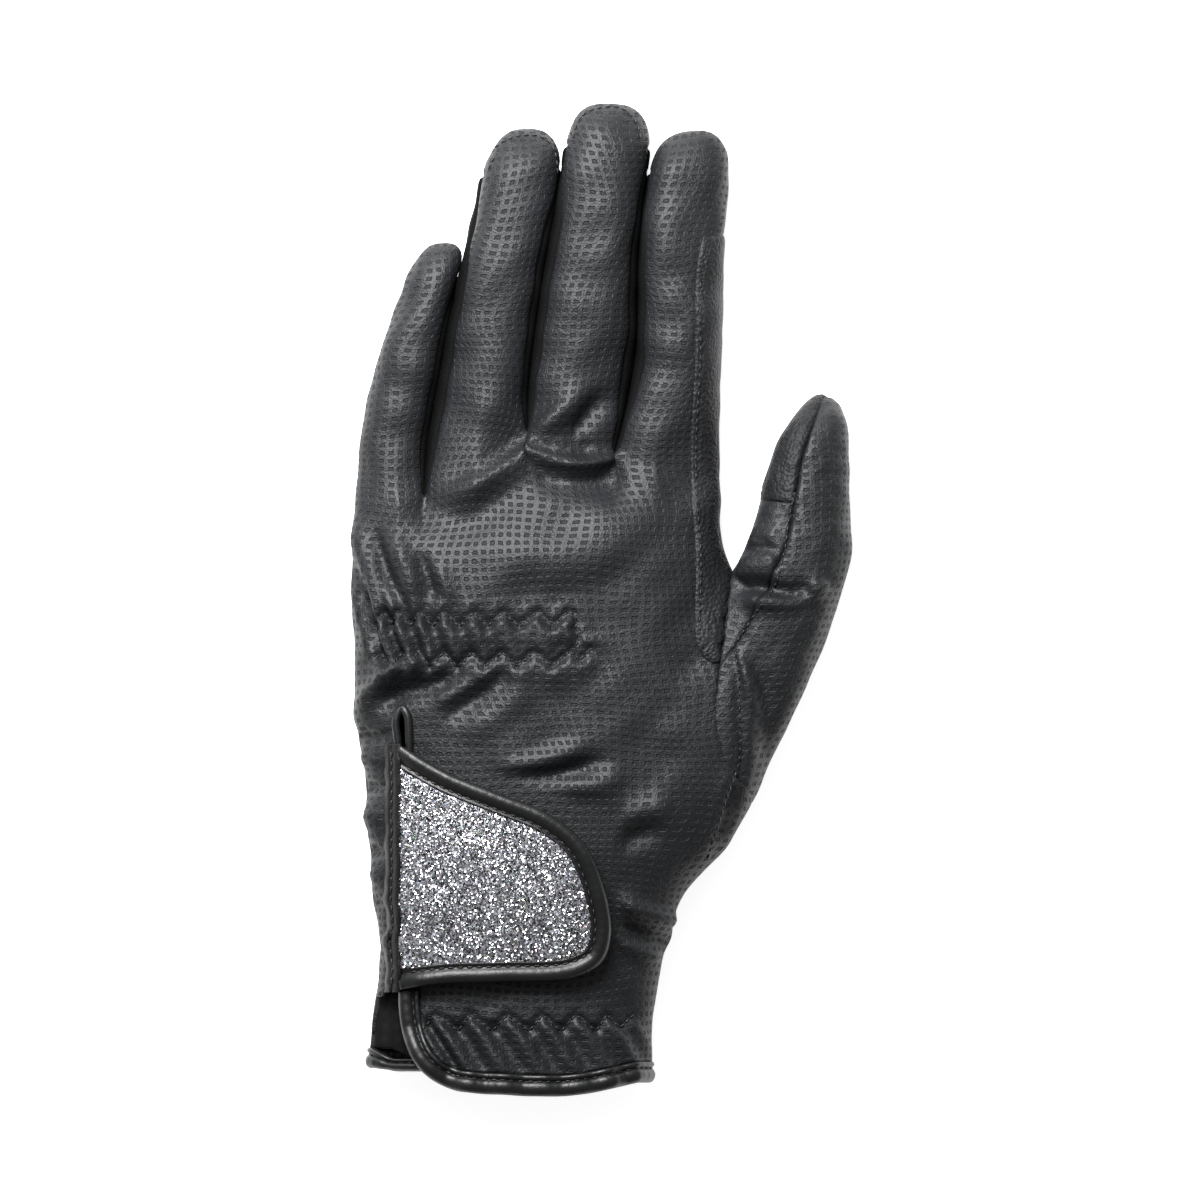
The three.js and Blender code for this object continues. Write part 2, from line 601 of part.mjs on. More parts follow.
// Some triangles of the skin as a closed sheet between two offsets from it. A boundary that the
// sheet shares with another panel is drawn back by half a seam's gap.
function sheet(skin, chosen, low, high, inset = 0) {
  const normals = skin.normals();
  const triangles = skin.triangles.filter(chosen).map((t) => t.corners);
  const edges = new Map();
  for (const corners of triangles) {
    corners.forEach((a, i) => edges.set(`${a},${corners[(i + 1) % 3]}`, [a, corners[(i + 1) % 3], corners]));
  }
  const rim = [...edges.values()].filter(([a, b]) => !edges.has(`${b},${a}`));
  const draw = new Map();
  for (const [a, b, corners] of rim) {
    const edge = skin.points[b].clone().sub(skin.points[a]).normalize();
    const third = corners.find((n) => n !== a && n !== b);
    const inward = skin.points[third].clone().sub(skin.points[a]);
    inward.addScaledVector(edge, -inward.dot(edge)).normalize();
    for (const n of [a, b]) draw.set(n, [...(draw.get(n) ?? []), inward]);
  }
  const shift = new Map();
  for (const [n, ways] of draw) {
    const sum = ways.reduce((total, way) => total.add(way), new THREE.Vector3()).divideScalar(ways.length);
    shift.set(n, sum.multiplyScalar(inset / Math.max(0.35, sum.lengthSq())));
  }
  const used = [...new Set(triangles.flat())];
  const local = new Map(used.map((n, i) => [n, i]));
  const offset = (distance) => used.map((n) => {
    const point = skin.points[n].clone().addScaledVector(normals[n], distance);
    return shift.has(n) ? point.add(shift.get(n)) : point;
  });
  const points = [...offset(high), ...offset(low)];
  const below = used.length;
  const faces = [];
  for (const corners of triangles) {
    const [a, b, c] = corners.map((n) => local.get(n));
    faces.push([a, b, c], [c + below, b + below, a + below]);
  }
  for (const [start, end] of rim) {
    // Both sheets along a seam split their twisted edge walls the same way
    const [a, b] = [local.get(start), local.get(end)];
    if (start < end) faces.push([b, a, b + below], [a, a + below, b + below]);
    else faces.push([b, a, a + below], [b, a + below, b + below]);
  }
  return { points, faces };
}

// The whole hand with its fingers as one closed body, grown by an offset, with the hem capped
function filled(skin, grow) {
  const normals = skin.normals();
  const points = skin.points.map((point, n) => point.clone().addScaledVector(normals[n], grow));
  const faces = skin.triangles.map((t) => t.corners);
  const edges = new Set(faces.flatMap((f) => f.map((a, i) => `${a},${f[(i + 1) % 3]}`)));
  const pairs = faces.flatMap((f) => f.map((a, i) => [a, f[(i + 1) % 3]]));
  const rim = pairs.filter(([a, b]) => !edges.has(`${b},${a}`));
  const centre = new THREE.Vector3();
  rim.forEach(([a]) => centre.addScaledVector(points[a], 1 / rim.length));
  points.push(centre);
  return { points, faces: [...faces, ...rim.map(([a, b]) => [b, a, points.length - 1])] };
}

function solid({ points, faces }) {
  const mesh = new wasm.Mesh({
    numProp: 3,
    vertProperties: new Float32Array(points.flatMap((p) => p.toArray())),
    triVerts: new Uint32Array(faces.flat()),
  });
  return new wasm.Manifold(mesh);
}

// A flat outline of [x, y] points as an upright block
function block(outline, from, to) {
  const shape = new THREE.Shape(outline.map(([x, y]) => new THREE.Vector2(x, y)));
  const extruded = new THREE.ExtrudeGeometry(shape, { depth: to - from, bevelEnabled: false });
  extruded.translate(0, 0, from);
  extruded.deleteAttribute('normal');
  extruded.deleteAttribute('uv');
  const merged = mergeVertices(extruded, 1e-4);
  const mesh = new wasm.Mesh({
    numProp: 3,
    vertProperties: new Float32Array(merged.attributes.position.array),
    triVerts: new Uint32Array(merged.index.array),
  });
  return new wasm.Manifold(mesh);
}

// Only the largest body, where a cut leaves crumbs
function largest(manifold) {
  const bodies = manifold.decompose();
  return bodies.reduce((best, body) => (body.volume() > best.volume() ? body : best));
}

// A bead of a flat section along a path on the skin. The section's points are [out, up], out
// being to the right of the path's way and up along the skin's normal.
function bead(path, section) {
  const points = [];
  const faces = [];
  const count = section.length;
  path.forEach(({ point, normal }, i) => {
    const before = path[Math.max(0, i - 1)].point;
    const after = path[Math.min(path.length - 1, i + 1)].point;
    const way = (path[i].way ?? after.clone().sub(before)).normalize();
    const out = new THREE.Vector3().crossVectors(way, normal).normalize();
    const up = new THREE.Vector3().crossVectors(out, way).normalize();
    for (const [a, b] of section) {
      points.push(point.clone().addScaledVector(out, a).addScaledVector(up, b));
    }
  });
  for (let i = 0; i < path.length - 1; i++) {
    for (let j = 0; j < count; j++) {
      const [a, b] = [i * count + j, i * count + ((j + 1) % count)];
      faces.push([a, b, b + count], [a, b + count, a + count]);
    }
  }
  const last = (path.length - 1) * count;
  for (let j = 1; j < count - 1; j++) {
    faces.push([0, j + 1, j], [last, last + j, last + j + 1]);
  }
  return { points, faces };
}

// The point on the skin's back straight above a place, with its normal
function onBack(skin, normals, [x, y]) {
  for (const { corners } of skin.triangles) {
    const [a, b, c] = corners.map((n) => skin.points[n]);
    const area = (b.x - a.x) * (c.y - a.y) - (c.x - a.x) * (b.y - a.y);
    if (area <= 0) continue;
    const v = ((x - a.x) * (c.y - a.y) - (c.x - a.x) * (y - a.y)) / area;
    const w = ((b.x - a.x) * (y - a.y) - (x - a.x) * (b.y - a.y)) / area;
    if (v < -1e-6 || w < -1e-6 || v + w > 1 + 1e-6) continue;
    const mix = (list) => list[corners[0]].clone().multiplyScalar(1 - v - w)
      .addScaledVector(list[corners[1]], v).addScaledVector(list[corners[2]], w);
    return { point: mix(skin.points), normal: mix(normals).normalize() };
  }
  throw new Error(`no point of the back above ${x}, ${y}`);
}

// A smooth line through a few places, as many points as asked
function throughPlaces(places, count) {
  const through = places.map(([x, y]) => new THREE.Vector3(x, y, 0));
  const curve = new THREE.CatmullRomCurve3(through, false, 'centripetal');
  return curve.getSpacedPoints(count).map((p) => [p.x, p.y]);
}

// An open outline drawn in by a distance to its right-hand side as it goes
function drawnIn(line, distance) {
  return line.map(([x, y], i) => {
    const [ax, ay] = line[Math.max(0, i - 1)];
    const [bx, by] = line[Math.min(line.length - 1, i + 1)];
    const length = Math.hypot(bx - ax, by - ay);
    return [x + ((by - ay) / length) * distance, y - ((bx - ax) / length) * distance];
  });
}

// Thumb
function buildThumb() {
  const skin = new Skin();
  const rows = THUMB_SECTIONS.map((row) => ({ ...row }));
  rows.forEach((row, i) => {
    const before = rows[i - 1];
    const step = before
      ? Math.hypot((row.side - before.side) * HAND_WIDTH, (row.up - before.up) * HAND_LENGTH)
      : 0;
    row.reached = before ? before.reached + step : 0;
  });
  const natural = rows[rows.length - 1].reached;
  const [rootX, rootY] = place([rows[0].side, rows[0].up]);
  const stretch = THUMB_LENGTH / natural;
  rows.forEach((row) => {
    row.along = row.reached / natural;
    row.x = rootX + (row.side * HAND_WIDTH - rootX) * stretch;
    row.y = rootY + (row.up * HAND_LENGTH - rootY) * stretch;
  });
  const at = (along, column) => sample(rows, 'along', along, column);
  const ring = (along, columns, angleAt) => {
    const small = 0.002;
    const tangent = new THREE.Vector2(
      at(Math.min(1, along + small), 'x') - at(Math.max(0, along - small), 'x'),
      at(Math.min(1, along + small), 'y') - at(Math.max(0, along - small), 'y'),
    ).normalize();
    const seam = at(along, 'seam');
    return steps(columns).map((t) => {
      const angle = rad(angleAt(t, seam));
      const out = (at(along, 'width') * THUMB_WIDTH * across(angle, FINGER_ROUNDNESS)) / 2;
      const half = (at(along, 'depth') * THUMB_DEPTH) / 2;
      const z = at(along, 'middle') * THUMB_DEPTH + half * above(angle, FINGER_ROUNDNESS);
      const [x, y] = [at(along, 'x') + tangent.y * out, at(along, 'y') - tangent.x * out];
      return new THREE.Vector3(x, y, Math.max(0, z));
    });
  };
  const alongs = THUMB_ROWS_AT;
  const strips = [
    {
      columns: THUMB_OUTER_COLUMNS,
      angle: (t, seam) => lerp(seam, THUMB_PALM_SEAM, t),
      panel: 'thumb_outer',
    },
    {
      columns: THUMB_INNER_COLUMNS,
      angle: (t, seam) => lerp(THUMB_PALM_SEAM, seam - 360, t),
      panel: 'thumb_inner',
    },
  ];
  const tip = new THREE.Vector3(at(1, 'x'), at(1, 'y'), at(1, 'middle') * THUMB_DEPTH);
  const last = alongs.length - 1;
  for (const { columns, angle, panel } of strips) {
    const rings = alongs.map((along) => ring(along, columns, angle));
    for (const [i, point] of rings[last].entries()) rings[last][i] = point.lerp(tip, 1);
    const indexed = rings.map((r) => r.map((p) => skin.add(p)));
    for (let k = 0; k < last; k++) {
      for (let i = 0; i < columns; i++) {
        skin.quad(indexed[k][i], indexed[k][i + 1], indexed[k + 1][i + 1], indexed[k + 1][i], panel);
        skin.triangles.slice(-2).forEach((t) => { t.along ??= alongs[k]; });
      }
    }
  }
  return skin;
}

// The skins, smooth and creased
const smoothHand = buildHand(TAB_COLUMNS, TAB_ROWS_AT);
const hand = buildHand(TOP_COLUMNS, HAND_ROWS_AT);
crease(hand);
const thumb = buildThumb();

const handInside = solid(filled(hand, -WALL * 0.9));
const thumbFilled = solid(filled(thumb, SEAM_GAP));
const HIGH = HAND_DEPTH * 3;

// The vent cuts the back from the keyhole to the hem
const overcuffEdge = throughPlaces(OVERCUFF.map(place), 18);
const keyhole = throughPlaces(KEYHOLE.map(place), 12);
const belowHem = [-0.235, -0.05];
const ventOutline = [
  ...keyhole.slice(0, -1),
  ...[KEYHOLE[KEYHOLE.length - 1], ...SLIT_LEFT].map(place),
  place(belowHem),
  ...overcuffEdge.slice(1).reverse(),
];
const ventFloor = HAND_DEPTH * WIDEST_AT;
const vent = block([...ventOutline].reverse(), ventFloor * 0.6, HIGH);

const panel = (skin, name) => solid(sheet(skin, (t) => t.panel === name, -WALL, 0, SEAM_GAP / 2));
const back = panel(hand, 'back').subtract(thumbFilled).subtract(vent);
const palm = panel(hand, 'palm').subtract(thumbFilled);
const seamLine = (name) => solid(sheet(
  hand,
  (t) => t.panel === name,
  -WALL - 2 * SEAM_GAP,
  2 * SEAM_GAP,
  -SEAM_GAP / 4,
));
const [backSeams, palmSeams] = ['back', 'palm'].map(seamLine);
const fourchettes = [1, 2, 3].map((n) => (
  panel(hand, `fourchette_${n}`).subtract(backSeams).subtract(palmSeams)
));

// Index reinforcement, a second layer on the outer side of the finger and hand
const patchLeft = INDEX_PATCH_EDGE.map(place);
const patchBeyond = [[0.8, 0.643], [0.8, 1.284]].map(place);
const indexSide = (t) => ['back', 'palm'].includes(t.panel)
  && t.corners.every((n) => hand.points[n].x > 0.3 * HAND_WIDTH && hand.points[n].y > 0.55 * HAND_LENGTH);
const indexLayer = solid(sheet(hand, indexSide, SEAT_GAP, SEAT_GAP + PATCH_THICKNESS));
const indexPatch = indexLayer
  .intersect(block([...patchLeft, ...patchBeyond].reverse(), INDEX_PATCH_LOW * HAND_DEPTH, HIGH))
  .subtract(solid(filled(thumb, 2 * SEAM_GAP)));

// Thumb panels, open to the hand, and the fingertip patch on the inner one
const thumbOuter = panel(thumb, 'thumb_outer').subtract(handInside);
const thumbInner = panel(thumb, 'thumb_inner').subtract(handInside);
const thumbTip = solid(sheet(
  thumb,
  (t) => t.panel === 'thumb_inner' && t.along >= THUMB_PATCH_FROM,
  SEAT_GAP,
  SEAT_GAP + PATCH_THICKNESS,
  SEAM_GAP / 2,
));

// Gusset behind the vent
const gussetBox = [
  [GUSSET.left, GUSSET.low], [GUSSET.right, GUSSET.low],
  [GUSSET.right, GUSSET.high], [GUSSET.left, GUSSET.high],
].map(place);
const ventSide = (t) => t.panel === 'back' && t.corners.every((n) => hand.points[n].x < -0.15 * HAND_WIDTH
  && hand.points[n].y < 0.6 * HAND_LENGTH);
const gussetTop = -WALL - hemRidge - SEAT_GAP;
const gussetLayer = solid(sheet(hand, ventSide, gussetTop - GUSSET_THICKNESS, gussetTop));
const gusset = gussetLayer.intersect(block(gussetBox, ventFloor, HIGH));

// Closure tab, a stack on the smooth back: fastener and anchor, base, then binding and glitter
const [tabX, tabY] = place([TAB_CORNER.side, TAB_CORNER.up]);
const tabEdge = throughPlaces(
  TAB_EDGE.map(([along, up]) => [tabX + along * TAB_LENGTH, tabY + up * TAB_HEIGHT]),
  24,
);
const anchorLeft = tabX - ANCHOR_WIDTH;
const [tabTop, tabLow] = [tabEdge[0][1], tabEdge[tabEdge.length - 1][1]];
const tabSide = (t) => t.panel === 'back' && t.corners.every((n) => smoothHand.points[n].x < 0.3 * HAND_WIDTH
  && smoothHand.points[n].y < 0.7 * HAND_LENGTH);
const tabLayer = (low, high) => solid(sheet(smoothHand, tabSide, low, high));
const fastenerTop = TAB_SEAT + FASTENER_THICKNESS;
const baseLow = fastenerTop + SEAT_GAP;
const baseTop = baseLow + TAB_BASE_THICKNESS;
const faceLow = baseTop + SEAT_GAP;
const box = (left, right, low, high) => [[left, low], [right, low], [right, high], [left, high]];

const fastener = tabLayer(TAB_SEAT, fastenerTop).intersect(block(box(
  tabX + FASTENER.left * TAB_LENGTH,
  tabX + FASTENER.right * TAB_LENGTH,
  tabY + FASTENER.low * TAB_HEIGHT,
  tabY + FASTENER.high * TAB_HEIGHT,
), 0, HIGH));
const anchorOutline = box(anchorLeft, tabX - SEAM_GAP, tabLow, tabTop);
const anchor = tabLayer(TAB_SEAT, faceLow + TAB_BINDING_THICKNESS).intersect(block(anchorOutline, 0, HIGH));
// The tab's outline drawn in, still open towards its corner's side
const tabOutline = (inset) => {
  const edge = drawnIn(tabEdge, inset);
  const [[, top], [, low]] = [edge[0], edge[edge.length - 1]];
  return block([[tabX - inset, low], ...[...edge].reverse(), [tabX - inset, top]], 0, HIGH);
};
const rightOf = (x) => block(box(x, x + 2 * TAB_LENGTH, tabLow - 1, tabTop + 1), 0, HIGH);
const tabShape = block([...tabEdge].reverse(), 0, HIGH);
const tabBase = tabLayer(baseLow, baseTop).intersect(tabShape);
const tabBinding = tabLayer(faceLow, faceLow + TAB_BINDING_THICKNESS)
  .intersect(tabShape.subtract(tabOutline(TAB_BINDING_WIDTH)));
const glitter = tabLayer(faceLow, faceLow + GLITTER_THICKNESS)
  .intersect(tabOutline(TAB_BINDING_WIDTH + SEAM_GAP).intersect(rightOf(tabX + SEAM_GAP)));

// Bound hems: a folded tape with a ridge each side of its stitch line
const HEM_SEAT = SEAM_GAP * 1.25;
const hemSection = [
  [HEM_SEAT, -WALL - hemRidge * 0.7], [HEM_SEAT, hemRidge * 0.7],
  [HEM_BINDING_WIDTH * 0.28, hemRidge], [HEM_BINDING_WIDTH * 0.52, hemRidge * 0.25],
  [HEM_BINDING_WIDTH * 0.76, hemRidge], [HEM_BINDING_WIDTH, -WALL * 0.2],
  [HEM_BINDING_WIDTH, -WALL * 0.8], [HEM_BINDING_WIDTH * 0.76, -WALL - hemRidge],
];
const hemNormals = hand.normals();

// The hem's loop of points as built: back from left to right, then round the palm to the left
function hemLoop() {
  const edges = new Map();
  for (const { corners } of hand.triangles) {
    corners.forEach((a, i) => edges.set(`${a},${corners[(i + 1) % 3]}`, [a, corners[(i + 1) % 3]]));
  }
  const next = new Map([...edges.values()].filter(([a, b]) => !edges.has(`${b},${a}`)));
  const start = hand.add(handPoint(0, 0, true));
  const loop = [start];
  while (next.get(loop[loop.length - 1]) !== start) loop.push(next.get(loop[loop.length - 1]));
  return loop.map((n, i) => {
    const before = hand.points[loop[(i + loop.length - 1) % loop.length]];
    const after = hand.points[loop[(i + 1) % loop.length]];
    return { point: hand.points[n], normal: hemNormals[n], way: after.clone().sub(before) };
  });
}
const hem = hemLoop();
const topCount = 4 * TOP_COLUMNS;
const cornerEnd = overcuffEdge[overcuffEdge.length - 1];
const backHem = hem
  .slice(0, topCount + SIDE_STEPS / 2 + 1)
  .filter(({ point }) => point.x > cornerEnd[0] + 2);
const upright = new THREE.Vector3(0, 0, 1);
const overcuffPath = overcuffEdge
  .filter(([, y]) => y < tabLow - 1)
  .map((spot) => ({ point: onBack(hand, hemNormals, spot).point, normal: upright }));

// The palm's binding goes on across the gusset's lower edge, which lies deeper, to the overcuff
const gussetDrop = gussetTop - GUSSET_THICKNESS / 2 + WALL / 2;
const gussetHem = [...hem.slice(-SIDE_STEPS / 2), ...hem.slice(0, 3)];
const palmHem = [
  ...hem.slice(topCount + SIDE_STEPS / 2, -SIDE_STEPS / 2),
  ...gussetHem.map((spot, i) => ({
    ...spot,
    point: spot.point.clone().addScaledVector(spot.normal, gussetDrop * smoothstep(i, 0, 2)),
  })),
];
const shortened = (path, gap) => {
  const last = path[path.length - 1];
  const point = last.point.clone().addScaledVector(last.way.clone().normalize(), -gap);
  return [...path.slice(0, -1), { ...last, point }];
};
const backBinding = solid(bead(shortened([...overcuffPath, ...backHem], SEAM_GAP), hemSection));
const palmBinding = solid(bead(palmHem, hemSection));

// Piping round the keyhole
const pipingSides = 6;
const pipingSection = steps(pipingSides).slice(1).map((t) => {
  const r = PIPING_DIAMETER / 2;
  return [r * Math.cos(2 * Math.PI * t), r * Math.sin(2 * Math.PI * t)];
}).reverse();
const pipingRise = SEAT_GAP + PIPING_DIAMETER / 2;
const pipingPath = keyhole.map((spot) => {
  const { point, normal } = onBack(hand, hemNormals, spot);
  return { point: point.addScaledVector(normal, pipingRise), normal };
});
const piping = solid(bead(pipingPath, pipingSection));

const LEATHER = { color: 0x26272a, roughness: 0.55, metalness: 0 };
const LOOKS = {
  embossed: LEATHER,
  smooth: { color: 0x1d1e20, roughness: 0.48, metalness: 0 },
  gusset: { color: 0x121315, roughness: 0.8, metalness: 0 },
  fastener: { color: 0x101011, roughness: 0.9, metalness: 0 },
  glitter: { color: 0xb4b6bc, roughness: 0.3, metalness: 0.7 },
};

function meshOf(name, manifold, look) {
  const result = largest(manifold).getMesh();
  const geometry = new THREE.BufferGeometry();
  geometry.setAttribute('position', new THREE.BufferAttribute(result.vertProperties, 3));
  geometry.setIndex(new THREE.BufferAttribute(result.triVerts, 1));
  geometry.computeVertexNormals();
  const mesh = new THREE.Mesh(geometry, new THREE.MeshStandardMaterial(LOOKS[look]));
  mesh.name = name;
  return mesh;
}

const glove = new THREE.Group();
glove.add(
  meshOf('back_panel', back, 'embossed'),
  meshOf('palm_panel', palm, 'smooth'),
  meshOf('fourchette_little_ring', fourchettes[0], 'smooth'),
  meshOf('fourchette_ring_middle', fourchettes[1], 'smooth'),
  meshOf('fourchette_middle_index', fourchettes[2], 'smooth'),
  meshOf('index_patch', indexPatch, 'smooth'),
  meshOf('thumb_outer', thumbOuter, 'embossed'),
  meshOf('thumb_inner', thumbInner, 'smooth'),
  meshOf('thumb_tip_patch', thumbTip, 'smooth'),
  meshOf('vent_gusset', gusset, 'gusset'),
  meshOf('vent_piping', piping, 'smooth'),
  meshOf('tab_anchor', anchor, 'smooth'),
  meshOf('tab_fastener', fastener, 'fastener'),
  meshOf('tab_base', tabBase, 'smooth'),
  meshOf('tab_binding', tabBinding, 'smooth'),
  meshOf('tab_glitter', glitter, 'glitter'),
  meshOf('hem_binding_back', backBinding, 'smooth'),
  meshOf('hem_binding_palm', palmBinding, 'smooth'),
);

// The origin is the middle of the glove's footprint on the table
const bounds = new THREE.Box3().setFromObject(glove, true);
const middle = bounds.getCenter(new THREE.Vector3());
glove.position.set(-middle.x, -middle.y, -bounds.min.z);

export default glove;
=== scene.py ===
"""Looks of a left-hand riding glove that lies palm down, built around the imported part.

Shapes are worked out in millimetres in the glove's own frame: x runs across from the hand's
centre line towards the thumb, y up from the hem to the fingertips and z up from the table. They
become metres in the part's frame when a piece is made.
"""

import logging
import math
from collections.abc import Callable, Sequence
from dataclasses import dataclass, field
from enum import Enum

import bpy
import numpy as np
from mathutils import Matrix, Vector
from mathutils.bvhtree import BVHTree
from mathutils.kdtree import KDTree


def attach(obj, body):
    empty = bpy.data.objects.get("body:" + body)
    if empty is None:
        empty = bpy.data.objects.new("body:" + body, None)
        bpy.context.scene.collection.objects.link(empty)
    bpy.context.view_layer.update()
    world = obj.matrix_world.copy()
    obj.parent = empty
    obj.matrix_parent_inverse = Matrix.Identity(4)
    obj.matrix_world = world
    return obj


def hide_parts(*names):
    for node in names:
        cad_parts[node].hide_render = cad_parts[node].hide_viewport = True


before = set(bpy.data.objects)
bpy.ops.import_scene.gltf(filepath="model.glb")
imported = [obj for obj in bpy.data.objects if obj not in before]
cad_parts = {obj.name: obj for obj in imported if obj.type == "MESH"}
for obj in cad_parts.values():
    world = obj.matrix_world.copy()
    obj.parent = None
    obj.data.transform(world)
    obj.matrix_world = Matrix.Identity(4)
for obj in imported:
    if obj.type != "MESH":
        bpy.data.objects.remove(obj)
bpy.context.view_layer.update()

Array = np.ndarray
Places = Sequence[tuple[float, float]]
LOG = logging.getLogger("glove")

MM = 0.001
# Where the part's origin lies in the glove's own frame, in millimetres
ORIGIN = np.array([14.6114, 119.0084, 0.0])
BODY = "root"


# Numbers and curves


def rise(value: Array | float, low: float, high: float) -> Array:
    """Smooth step from 0 at low to 1 at high."""
    t = np.clip((np.asarray(value, float) - low) / (high - low), 0.0, 1.0)
    return t * t * (3.0 - 2.0 * t)


def mix(start: Array | float, end: Array | float, share: Array | float) -> Array:
    """Straight blend from start to end."""
    return start + (end - start) * share


def through(keys: Sequence[float], values: Sequence[float], at: Array | float) -> Array:
    """Smooth curve through a table's column, by Catmull-Rom through its rows.

    Args:
        keys: Rising places of the rows.
        values: The column's values.
        at: Places to read.

    Returns:
        The curve's value at each place, held at the ends.
    """
    keys, values = np.asarray(keys, float), np.asarray(values, float)
    gaps = np.diff(keys)
    rates = np.diff(values) / gaps
    inner = (values[2:] - values[:-2]) / (keys[2:] - keys[:-2])
    slopes = np.concatenate([rates[:1], inner, rates[-1:]])
    at = np.clip(np.asarray(at, float), keys[0], keys[-1])
    i = np.clip(np.searchsorted(keys, at, side="left") - 1, 0, len(gaps) - 1)
    t = (at - keys[i]) / gaps[i]
    t2, t3 = t * t, t * t * t
    return (
        (2 * t3 - 3 * t2 + 1) * values[i]
        + (t3 - 2 * t2 + t) * slopes[i] * gaps[i]
        + (3 * t2 - 2 * t3) * values[i + 1]
        + (t3 - t2) * slopes[i + 1] * gaps[i]
    )


def smooth_path(places: Places, count: int) -> Array:
    """Evenly spaced points on a centripetal Catmull-Rom curve through a few places.

    Args:
        places: Two or more places, in two or three dimensions.
        count: Number of steps between the points.

    Returns:
        count + 1 points from the first place to the last.
    """
    p = np.asarray(places, float)
    p = np.concatenate([[2 * p[0] - p[1]], p, [2 * p[-1] - p[-2]]])
    dense = []
    for a, b, c, d in zip(p[:-3], p[1:-2], p[2:-1], p[3:]):
        d0, d1, d2 = (max(1e-4, np.linalg.norm(q - r) ** 0.5) for q, r in ((b, a), (c, b), (d, c)))
        m1 = ((b - a) / d0 - (c - a) / (d0 + d1) + (c - b) / d1) * d1
        m2 = ((c - b) / d1 - (d - b) / (d1 + d2) + (d - c) / d2) * d1
        t = np.linspace(0, 1, 24, endpoint=False)[:, None]
        dense.append(
            (2 * t**3 - 3 * t**2 + 1) * b + (t**3 - 2 * t**2 + t) * m1
            + (3 * t**2 - 2 * t**3) * c + (t**3 - t**2) * m2
        )
    return even_path(np.concatenate([*dense, p[-2:-1]]), count)


def lengths_along(path: Array) -> Array:
    """Length walked along a path at each of its points."""
    return np.concatenate([[0.0], np.cumsum(np.linalg.norm(np.diff(path, axis=0), axis=1))])


def even_path(path: Array, count: int) -> Array:
    """The same path in evenly spaced points."""
    walked = lengths_along(path)
    at = np.linspace(0, walked[-1], count + 1)
    return np.stack([np.interp(at, walked, path[:, k]) for k in range(path.shape[1])], axis=1)


def unit(vectors: Array) -> Array:
    """Vectors made one long."""
    return vectors / np.linalg.norm(vectors, axis=1)[:, None]


def ways_along(path: Array) -> Array:
    """Direction of a path at each of its points."""
    return unit(np.gradient(path, axis=0))


def beside_path(path: Array, places: Array) -> tuple[Array, Array, Array]:
    """How places lie beside a flat path.

    Args:
        path: Points of the path.
        places: Places to measure.

    Returns:
        Each place's distance, the share of the path's length there, and the side: +1 for left,
        -1 for right.
    """
    best = np.full(len(places), np.inf)
    share, side = np.zeros(len(places)), np.ones(len(places))
    walked = lengths_along(path)
    for i, (a, b) in enumerate(zip(path[:-1], path[1:])):
        way, to = b - a, places - a
        t = np.clip(to @ way / max(1e-9, way @ way), 0, 1)
        gap = to - t[:, None] * way
        distance = np.hypot(gap[:, 0], gap[:, 1])
        near = distance < best
        best[near] = distance[near]
        share[near] = (walked[i] + t[near] * (walked[i + 1] - walked[i])) / walked[-1]
        side[near] = np.where(way[0] * to[near, 1] - way[1] * to[near, 0] >= 0, 1.0, -1.0)
    return best, share, side


def inside_depth(outline: Array, places: Array) -> Array:
    """Depth of places inside a closed flat outline, negative outside."""
    closed = np.concatenate([outline, outline[:1]])
    distance, _, _ = beside_path(closed, places)
    inside = np.zeros(len(places), bool)
    for (ax, ay), (bx, by) in zip(closed[:-1], closed[1:]):
        crosses = (ay > places[:, 1]) != (by > places[:, 1])
        if by != ay:
            inside ^= crosses & (places[:, 0] < ax + (places[:, 1] - ay) / (by - ay) * (bx - ax))
    return np.where(inside, distance, -distance)


def ripple(places: Array, size: float, seed: int) -> Array:
    """Soft random waves between about -1 and 1, the same at each run.

    Args:
        places: Places in two or three dimensions.
        size: Length of the waves.
        seed: Which waves.
    """
    rng = np.random.default_rng(seed)
    total = np.zeros(len(places))
    for _ in range(7):
        way = rng.normal(size=places.shape[1])
        way *= 2 * math.pi / size / np.linalg.norm(way) * rng.uniform(0.7, 1.4)
        total += np.sin(places @ way + rng.uniform(0, 2 * math.pi))
    return total / 3.2


def askew(pattern: Array, waves: Places, seed: int) -> Array:
    """Places of a pattern, carried off by soft waves.

    Args:
        pattern: The places, across and along.
        waves: Reach and length of the waves across, and of those along.
        seed: Which waves.
    """
    moved = [reach * ripple(pattern, size, seed + k) for k, (reach, size) in enumerate(waves)]
    return pattern + np.stack(moved, axis=1)


# The hand's form


class Panel(Enum):
    """Leather panels of the glove's skin."""

    BACK = "back"
    PALM = "palm"
    WALL_1 = "wall between little and ring finger"
    WALL_2 = "wall between ring and middle finger"
    WALL_3 = "wall between middle and index finger"
    THUMB_OUTER = "outer half of the thumb"
    THUMB_INNER = "inner half of the thumb"


WALLS = (Panel.WALL_1, Panel.WALL_2, Panel.WALL_3)


def bowed(angle: Array, roundness: float) -> tuple[Array, Array]:
    """Superellipse: the shares across and up at an angle."""
    c, s = np.cos(angle), np.sin(angle)
    return (
        np.sign(c) * np.abs(c) ** (2 / roundness),
        np.sign(s) * np.abs(s) ** (2 / roundness),
    )


